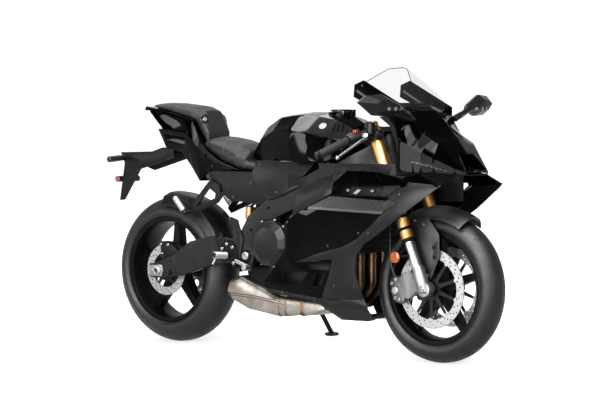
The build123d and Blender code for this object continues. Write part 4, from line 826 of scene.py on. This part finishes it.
def add_muffler_details():
    bm = bmesh.new()
    for x, low, high in ((660, 151, 233), (697, 154, 232), (780, 160, 229), (790, 161, 228.5)):
        add_ring_bead(bm, muffler_loop(x, low, high), 2.6)
    for z in (236.0, 227.0):
        for side in SIDES:
            seam = [(372, 106, z), (384, 112, z - 1), (520, 112.4, z - 6), (694, 112.4, z - 26)]
            add_ring_bead(bm, [Vector((x, side * out, height)) for x, out, height in seam], 1.8, closed=False)
    finish("muffler_welds", bm, "weld_brown")
    bm = bmesh.new()
    add_prism(bm, [(650, 234), (650, 250), (690, 250), (706, 232)], -86, -70)
    add_bolt(bm, (672, -86, 243), RIGHT, 6)
    finish("muffler_hanger", bm, "brushed_alloy", bevel=1)
    bm = bmesh.new()
    for y in (-78.0, 0.0, 78.0):
        for z in (410, 500):
            add_drum(bm, (1064, y, z), UP, [(0, 20), (1, 22.5), (7, 22.5), (8, 20)])
    finish("header_collars", bm, "weld_brown")


def add_tank_details():
    # the louvres' slots as thin near-black strips on the tank: their black is painted shade inside the slots
    bm = bmesh.new()
    for x in range(962, 1037, 15):
        for side in SIDES:
            low, _ = on_side("fuel_tank", x + 7, 921, side)
            high, _ = on_side("fuel_tank", x - 5, 954, side)
            half = Vector((4, 0, 0))
            out = Vector((0, side, 0))
            add_plate(bm, [low - half, low + half, high + half, high - half], out * -2, out * 0.6)
    finish("tank_louvre_shade", bm, "louvre_shade_black")
    bm = bmesh.new()
    for side in SIDES:
        place, normal = on_side("fuel_tank", 914, 944, side)
        add_drum(bm, place - normal, normal,
                 [(0, 17), (2.2, 17), (3.2, 16), (3.2, 13.5), (2.4, 13), (2.4, 6), (3.0, 5)], 40)
    finish("tank_discs", bm, "badge_grey")
    bm = bmesh.new()
    add_drum(bm, (FILLER_X, 0, 1009), UP, [(0, 38), (1.6, 38), (2.6, 36.5), (2.6, 12), (1.6, 11)], 40)
    finish("filler_rim", bm, "bolt_dark", "fuel_lid_body")
    bm = bmesh.new()
    for x, y in ring_of((FILLER_X, 0), FILLER_BOLT_RING, 15, 6, 60):
        add_bolt(bm, (x, y, 1001), UP, 3.6)
    finish("filler_bolts", bm, "bolt_zinc")


def add_tail_details():
    bm = bmesh.new()
    for side in SIDES:
        place, normal = on_side("passenger_seat", 202, 966, side)
        add_drum(bm, place - normal * 3, normal, [(0, 20), (4.5, 20), (6, 18), (6, 14), (4, 13)], 32)
    finish("hump_rings", bm, "display_glass")
    bm = bmesh.new()
    place, normal = on_side("passenger_seat", 202, 966)
    add_drum(bm, place, normal, [(0, 9), (4.5, 9), (5.5, 8), (5.5, 5), (4.5, 4.5)])
    finish("seat_lock", bm, "bolt_zinc")
    bm = bmesh.new()
    bolts_on(bm, "tail_cowl", [(300, 770), (520, 752)], 5)
    bolts_on(bm, "subframe", [(640, 650), (420, 640), (520, 700)], 6)
    bolts_on(bm, "side_covers", [(600, 780), (690, 668)], 5)
    finish("tail_bolts", bm, "bolt_dark")
    bm = bmesh.new()
    for side in SIDES:
        add_drum(bm, (-277.5, side * 100, 792), (-0.14, side, -0.08),
                 [(-12, 12.6), (-10, 13.4), (50, 13.4), (53, 11)])
    finish("indicator_lenses", bm, "screen_rim")
    bm = bmesh.new()
    add_drums(bm, [(-314, 64, 700)], [(-1, 13.4), (2, 13.4), (3, 12)])
    add_prism(bm, [(-292, 722), (-286, 722), (-292, 742), (-298, 742)], -9, 9)
    finish("rear_reflectors", bm, "reflector_red")


# The hoses' points: height, distance ahead and distance out from the steering axis.
BRAKE_HOSE = ((102, -104, 92), (150, -112, 96), (250, -70, 92), (380, -40, 70), (470, -20, 40),
              (476, -12, 20))
LEVER_HOSE = ((630, 62, 108), (570, 62, 84), (500, 58, 34))


def hose_route(points, side):
    return [fork_point(height, ahead, side * out) for height, ahead, out in points]


def add_fork_details():
    bm = bmesh.new()
    add_bars(bm, [((1352, 128, 432), (1304, 138, 426), 5)])
    add_drums(bm, [(1297, 134, 425)], [(0, 25), (9, 25), (10, 24)], 40)
    finish("reflector_stays", bm, "liner_black", "steering_body")
    bm = bmesh.new()
    add_drums(bm, [(1297, 144, 425)], [(0, 22.5), (4, 22.5), (6, 19.5), (6.8, 9)], 40)
    finish("amber_reflectors", bm, "amber_lens", "steering_body")
    bm = bmesh.new()
    for side in SIDES:
        for height in (250.0, 300.0):
            add_drum(bm, fork_point(height, side=side * 105), STEER_UP,
                     [(0, 26.5), (0.5, 27.8), (13, 27.8), (13.5, 26.5)], 32)
    finish("fork_bands", bm, "liner_black", "steering_body")
    bm = bmesh.new()
    for side in SIDES:
        add_drum(bm, fork_point(206, side=side * 105), STEER_UP,
                 [(-5, 24), (-4, 28.5), (10, 28.5), (12, 27)], 32)
    # dark plugs in the front fender's two holes: painted shade of the holes
    add_drums(bm, [(1438, 71.6, 465), (1440, 71.6, 428)], [(0, 11), (2.2, 11), (2.4, 7.6)])
    finish("fork_seals_and_hole_shade", bm, "liner_black", "steering_body")
    bm = bmesh.new()
    for side in SIDES:
        for height, ahead in ((8, -112), (88, -98), (20, -128), (80, -122)):
            add_bolt(bm, fork_point(height, ahead, side * 102), (0, side, 0), 7)
        add_drum(bm, fork_point(48, -120, side * 101), (0, side, 0),
                 [(0, 15), (4, 15), (5, 13), (5, 8), (3, 7)])
    add_bolts(bm, [(1420, 128, 300)], 10, 5)
    bolts_on(bm, "front_fender", [(1390, 556), (1345, 570)], 4.5)
    finish("front_bolts", bm, "bolt_zinc", "steering_body")


def add_bar_details():
    bm = bmesh.new()
    for side in SIDES:
        above = Vector((0, 0, 25))
        add_bar(bm, along_bar(0.2, side) + above, along_bar(0.3, side) + above, 5)
    finish("switch_bars", bm, "liner_black", "steering_body")
    bm = bmesh.new()
    centre = along_bar(0.29) + Vector((6, 0, 24))
    outline = [(centre.x + ahead, centre.z + up) for ahead, up in ((-10, -6), (12, -6), (9, 6), (-6, 8))]
    add_prism(bm, outline, centre.y - 12, centre.y + 12)
    finish("stop_switch", bm, "red_plastic", "steering_body", bevel=2)
    bm = bmesh.new()
    for side in SIDES:
        pivot = along_bar(0.13, side) + Vector((34, side * -8, 42))
        add_drum(bm, pivot, UP, [(0, 20), (5, 20), (6.5, 18)], 28)
        add_bolt(bm, pivot + Vector((0, 0, 6)), UP, 5)
    finish("reservoir_caps", bm, "liner_black", "steering_body")
    for side, name in SIDES.items():
        add_hose(f"brake_hose_{name}", hose_route(BRAKE_HOSE, side), 4.2)
        start = along_bar(0.13, side) + Vector((44, side * -16, 6))
        bend = start + Vector((26, side * -18, -2))
        add_hose(f"lever_hose_{name}", [start, bend] + hose_route(LEVER_HOSE, side), 3.8)


COWL_LINER = [(1353, 990), (1353, 768), (1322, 796), (1312, 850), (1300, 890), (1273, 948), (1218, 985)]
MIRROR_GLASS = ((436, 1041), (396, 1064), (322, 1069), (222, 1029), (212, 1012), (280, 991), (362, 995))
TRAY_TOP = [(1380, -150, 768), (1500, -128, 764), (1590, -66, 757), (1590, 66, 757), (1500, 128, 764),
            (1380, 150, 768)]
TRAY_BOTTOM = [(1380, -148, 764), (1500, -126, 760), (1589, -64, 753), (1589, 64, 753), (1500, 126, 760),
               (1380, 148, 764)]
LAMP_DASHES = 8  # on each side


def add_head_details():
    bm = bmesh.new()  # slats over the position lamps
    for side in SIDES:
        for i in range(LAMP_DASHES):
            back = i * 15.5
            place, _ = on_side("position_lamps", 1424 + back, 806 - back * 0.29, side)
            place = place + Vector((0, side * 0.5, 0))
            along, across, out = Vector((-13.0, 0, 3.8)), Vector((3, 0, -2.6)), Vector((0, side, 0))
            add_plate(bm, [place, place + across, place + along + across, place + along], out * -3, out * 0.8)
    finish("lamp_dashes", bm, "badge_grey")
    bm = bmesh.new()
    for side in SIDES:
        for out in (252, 288, 324):
            place, normal = cast("mirrors", (1700, side * out, 1016), (-1, 0, 0))
            add_drum(bm, place - normal, normal, [(0, 8), (2.5, 8), (4, 5.5)], 20)
    finish("mirror_lamps", bm, "led_lens")
    bm = bmesh.new()
    for side in SIDES:
        glass = [Vector((1371 - (out - 205) * 0.165 - 0.6, side * out, z)) for out, z in MIRROR_GLASS]
        add_plate(bm, glass, (0, 0, 0), (-1.2, 0, 0))
    finish("mirror_glasses", bm, "mirror_glass")
    bm = bmesh.new()  # the cowl's inner sides, behind the nose's flanks
    add_prisms(bm, COWL_LINER, 150, 153.5)
    finish("cowl_liners", bm, "liner_black", bevel=1)
    bm = bmesh.new()
    add_loft(bm, [TRAY_TOP, TRAY_BOTTOM])
    finish("nose_tray", bm, "liner_black")
    bm = bmesh.new()  # the screen's polished edge
    add_bars(bm, [((1222, 0, 1182), (1196, 62, 1176), 1.5),
                  ((1196, 62, 1176), (1150, 149.2, 1124), 1.5)], 10, 0.2)
    finish("screen_rim", bm, "screen_rim")
    bm = bmesh.new()
    bolts_on(bm, "nose_cowl", [(1135, 1108), (1310, 1010)], 4.5)
    finish("screen_bolts", bm, "bolt_dark")


INSTRUMENT_STAY = [(1190, 876), (1184, 924), (1290, 930), (1262, 1006), (1290, 1006), (1352, 900),
                   (1320, 870)]


def add_instrument():
    """Stands for the instrument: a low display in a rounded case, on the stay from the steering head."""
    bm = bmesh.new()
    add_prism(bm, [(1236, 1004), (1228, 1012), (1250, 1040), (1274, 1040), (1276, 1004)], -80, 80)
    add_prism(bm, INSTRUMENT_STAY, -16, 16)
    add_prism(bm, [(1352, 900), (1330, 900), (1312, 975), (1340, 975)], -149, 149)
    case = finish("instrument_case", bm, "liner_black", bevel=3)
    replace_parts(case, "instrument_dash")
    bm = bmesh.new()
    face = [Vector(corner) for corner in ((1229.0, -68, 1013.4), (1229.0, 68, 1013.4), (1248.4, 68, 1038.0),
                                          (1248.4, -68, 1038.0))]
    out = Vector((-0.78, 0, 0.62))
    add_plate(bm, face, -out, out * 1.2)
    finish("instrument_glass", bm, "display_glass")


COVER_TIP = ((756, 163.0, 796), (884, 152.0, 796), (775, 186.0, 744), (854, 180.0, 744), (822, 166.0, 703),
             (750, 163.0, 690), (756, 150.0, 796), (884, 148.0, 796), (822, 150.0, 702), (750, 150.0, 690))
WINGLET_WEB = ((1380, 203, 745), (1457, 200.5, 765), (1565, 212.5, 714), (1520, 211.5, 710), (1440, 226, 702),
               (1385, 231, 703))
# The mirror arm's covers: the middle, half width and half thickness of three sections.
MIRROR_ARM = (((1377, 139, 973), 19, 9), ((1368, 190, 986), 16, 8), ((1358, 240, 1000), 15, 7))
ARM_SECTION = ((-1, 0), (-0.6, 1), (0.6, 1), (1, 0), (0.6, -1), (-0.6, -1))


def add_cover_tips():
    """The faceted noses of the side covers, which run forward under the tank."""
    for side, name in SIDES.items():
        bm = bmesh.new()
        bmesh.ops.convex_hull(bm, input=[bm.verts.new((x, side * out, z)) for x, out, z in COVER_TIP])
        finish(f"side_cover_tip_{name}", bm, "satin_black", bevel=1.2, sharp=15)


def add_wing_details():
    """The webs that close the gap under the winglets, and the flat covers over the mirrors' arms."""
    for side, name in SIDES.items():
        bm = bmesh.new()
        add_plate(bm, [Vector((x, side * out, z)) for x, out, z in WINGLET_WEB], (0, 0, 0), (0, side * -3, 0))
        finish(f"winglet_web_{name}", bm, "gloss_black", bevel=0.8)
    bm = bmesh.new()
    for side in SIDES:
        add_loft(bm, [[(x + a * wide, side * out, z + b * thick) for a, b in ARM_SECTION]
                      for (x, out, z), wide, thick in MIRROR_ARM])
    finish("mirror_arm_covers", bm, "arm_black", bevel=1)


def fairing_at(x, z, side):
    """The fairing's surface, on the first of its nodes that is there."""
    for node in ("side_fairings", "lower_fairings"):
        try:
            return on_side(node, x, z, side)[0]
        except RuntimeError:
            pass
    raise RuntimeError(f"no fairing at {x}, {z}")


SKIN_STEPS = 18
SKIN_SUNK = 1.5  # how deep the plates reach into the fairing
# the lower and upper lines of the painted highlight strip, then of the blank plates
BEVEL_HIGHLIGHT_LOWER, BEVEL_HIGHLIGHT_UPPER = [(914, 610), (1306, 600)], [(930, 620), (1318, 611)]
PLATE_LOWER, PLATE_UPPER = [(932, 621), (1318, 612)], [(1040, 664), (1350, 652)]


def skin_strips(bm, lower, upper, lift, rows):
    """Thin plates that follow the fairings, between a lower and an upper straight line in side view."""
    for side in SIDES:
        out = Vector((0, side, 0))
        loops = []
        for i in range(SKIN_STEPS + 1):
            share = i / SKIN_STEPS
            low = [a + (b - a) * share for a, b in zip(*lower)]
            high = [a + (b - a) * share for a, b in zip(*upper)]
            column = []
            for j in range(rows + 1):
                x, z = [a + (b - a) * j / rows for a, b in zip(low, high)]
                column.append(fairing_at(x, z, side))
            loops.append([p + out * lift for p in column] + [p - out * SKIN_SUNK for p in reversed(column)])
        add_loft(bm, loops)


def add_fairing_details():
    bm = bmesh.new()
    bolts_on(bm, "side_fairings", [(1010, 462), (1180, 520), (800, 550)], 5.5)
    bolts_on(bm, "lower_fairings", [(905, 236), (742, 257), (1124, 300), (1020, 300), (1230, 520),
                                    (1390, 680), (1050, 742)], 5.5)
    finish("fairing_bolts", bm, "bolt_dark")
    # a raised strip along each blank plate's lower edge, in a lighter grey: a painted highlight on its bevel
    bm = bmesh.new()
    skin_strips(bm, BEVEL_HIGHLIGHT_LOWER, BEVEL_HIGHLIGHT_UPPER, 1.6, 1)
    finish("plate_bevel_highlights", bm, "bevel_highlight_grey")
    bm = bmesh.new()
    skin_strips(bm, PLATE_LOWER, PLATE_UPPER, 1.2, 3)
    finish("blank_plates", bm, "plate_grey")
    bm = bmesh.new()
    add_prisms(bm, [(1120, 676), (1146, 694), (1160, 690), (1138, 672)], 186.5, 194)
    add_bolts(bm, [(1090, 186.5, 688), (1215, 186.5, 688)], 7)
    finish("slot_brackets", bm, "brushed_alloy", bevel=1)


def add_rear_details():
    bm = bmesh.new()
    for y, side in ((-146, -1), (156, 1)):
        add_bolt(bm, (-30, y, 315), (0, side, 0), 6)
        add_bolt(bm, (18, y, 332), (0, side, 0), 5)
    for x, z in ((34, 424), (-6, 426)):
        add_bolt(bm, (x, -112, z), RIGHT, 6)
    finish("rear_bolts", bm, "bolt_zinc")


# ---- studio ----
WORLD_LIGHT = 0.4
CEILING = (0.22, 0.5)  # sines of the elevations where the backdrop fades into the ceiling
CEILING_GREY = grey(0.25)
FLOOR_HALF = 30.0
FLOOR_GLOW = 0.70
SOFTBOX_AWAY = 4000.0


def ray_is(tree, *kinds):
    """The largest of the Light Path outputs named."""
    path = add_node(tree, "LightPath")
    result = path.outputs[kinds[0]]
    for kind in kinds[1:]:
        result = maths(tree, "MAXIMUM", result, path.outputs[kind])
    return result


def chosen(tree, factor, first, second):
    """A mix of two shaders: the first where the factor is 0, the second where it is 1."""
    mix = add_node(tree, "MixShader")
    for socket, source in zip(mix.inputs, (factor, first.outputs[0], second.outputs[0])):
        tree.links.new(source, socket)
    return mix


def add_world():
    """White to the camera. In reflections it is the same white backdrop up to a dim ceiling."""
    scene = bpy.context.scene
    scene.view_settings.view_transform = "Standard"
    scene.world = bpy.data.worlds.new("studio")
    scene.world.use_nodes = True
    tree = scene.world.node_tree
    tree.nodes.clear()
    seen, lit, mirrored = [add_node(tree, "Background", Color=(*WHITE, 1), Strength=strength)
                           for strength in (1.0, WORLD_LIGHT, 1.0)]
    place = add_node(tree, "TexCoord")
    parts = add_node(tree, "SeparateXYZ")
    ramp = add_node(tree, "ValToRGB")
    set_ramp(ramp, (CEILING[0], WHITE), (CEILING[1], CEILING_GREY))
    tree.links.new(place.outputs["Generated"], parts.inputs[0])
    tree.links.new(parts.outputs["Z"], ramp.inputs["Fac"])
    tree.links.new(ramp.outputs["Color"], mirrored.inputs["Color"])
    unseen = chosen(tree, ray_is(tree, "Is Glossy Ray"), lit, mirrored)
    every = chosen(tree, ray_is(tree, "Is Camera Ray", "Is Transmission Ray"), unseen, seen)
    output = add_node(tree, "OutputWorld")
    tree.links.new(every.outputs[0], output.inputs["Surface"])


def add_floor():
    corners = [(-FLOOR_HALF, -FLOOR_HALF, 0), (FLOOR_HALF, -FLOOR_HALF, 0), (FLOOR_HALF, FLOOR_HALF, 0),
               (-FLOOR_HALF, FLOOR_HALF, 0)]
    mesh = bpy.data.meshes.new("floor")
    mesh.from_pydata(corners, [], [(0, 1, 2, 3)])
    material = new_material("floor_white", grey(0.86), 0.9, specular=0.1)
    tree = material.node_tree
    inputs = shader_of(material)
    inputs["Emission Color"].default_value = (*WHITE, 1)
    watched = ray_is(tree, "Is Camera Ray", "Is Glossy Ray", "Is Transmission Ray")
    tree.links.new(maths(tree, "MULTIPLY", watched, FLOOR_GLOW), inputs["Emission Strength"])
    mesh.materials.append(material)
    add_object("floor", mesh)


def add_lamp(name, place, size, power, aim=(0, 0, 0.5)):
    data = bpy.data.lights.new(name, "AREA")
    data.shape = "RECTANGLE"
    data.size, data.size_y = size
    data.energy = power
    lamp = add_object(name, data)
    lamp.location = place
    lamp.rotation_euler = (Vector(aim) - Vector(place)).to_track_quat("-Z", "Y").to_euler()
    return lamp


def add_softbox(name, node, x, z, size, power):
    """A lamp seen only in reflections, where the node's side at (x, z) mirrors it to the camera."""
    place, normal = on_side(node, x, z)
    view = (camera_place()[0] - place).normalized()
    mirrored = normal * (2 * normal.dot(view)) - view
    away = place + mirrored * SOFTBOX_AWAY
    lamp = add_lamp(name, TO_ROW @ (away * MM), size, power, TO_ROW @ (place * MM))
    lamp.visible_diffuse = False
    lamp.visible_camera = False


def add_lamps():
    add_lamp("overhead", (0.0, 0.0, 3.0), (3.4, 1.4), 75)
    add_lamp("side", (0.2, -3.8, 2.3), (3.2, 0.35), 30)
    add_lamp("front", (3.8, -1.4, 1.6), (0.35, 2.4), 18)
    add_lamp("back", (-2.6, 2.4, 2.6), (2.2, 0.6), 20)
    add_softbox("nose_light", "nose_cowl", 1489, 855, (3.4, 3.4), 660)
    add_softbox("cowl_light", "nose_cowl", 1440, 850, (3.2, 2.8), 480)
    add_softbox("flank_light", "nose_cowl", 1480, 816, (2.2, 1.2), 80)
    add_softbox("tyre_light", "front_tyre", 1612, 492, (2.4, 2.4), 420)
    add_softbox("tank_light", "fuel_tank", 860, 950, (2.0, 0.9), 100)
    add_softbox("tail_light_box", "tail_cowl", 60, 968, (1.0, 0.6), 40)


add_camera()
add_world()
add_floor()
add_lamps()
dress_nodes()
add_tyres()
add_seats()
add_engine_details()
add_frame_details()
add_rearset_details()
add_muffler_details()
add_tank_details()
add_tail_details()
add_fork_details()
add_bar_details()
add_head_details()
add_instrument()
add_cover_tips()
add_wing_details()
add_fairing_details()
add_rear_details()
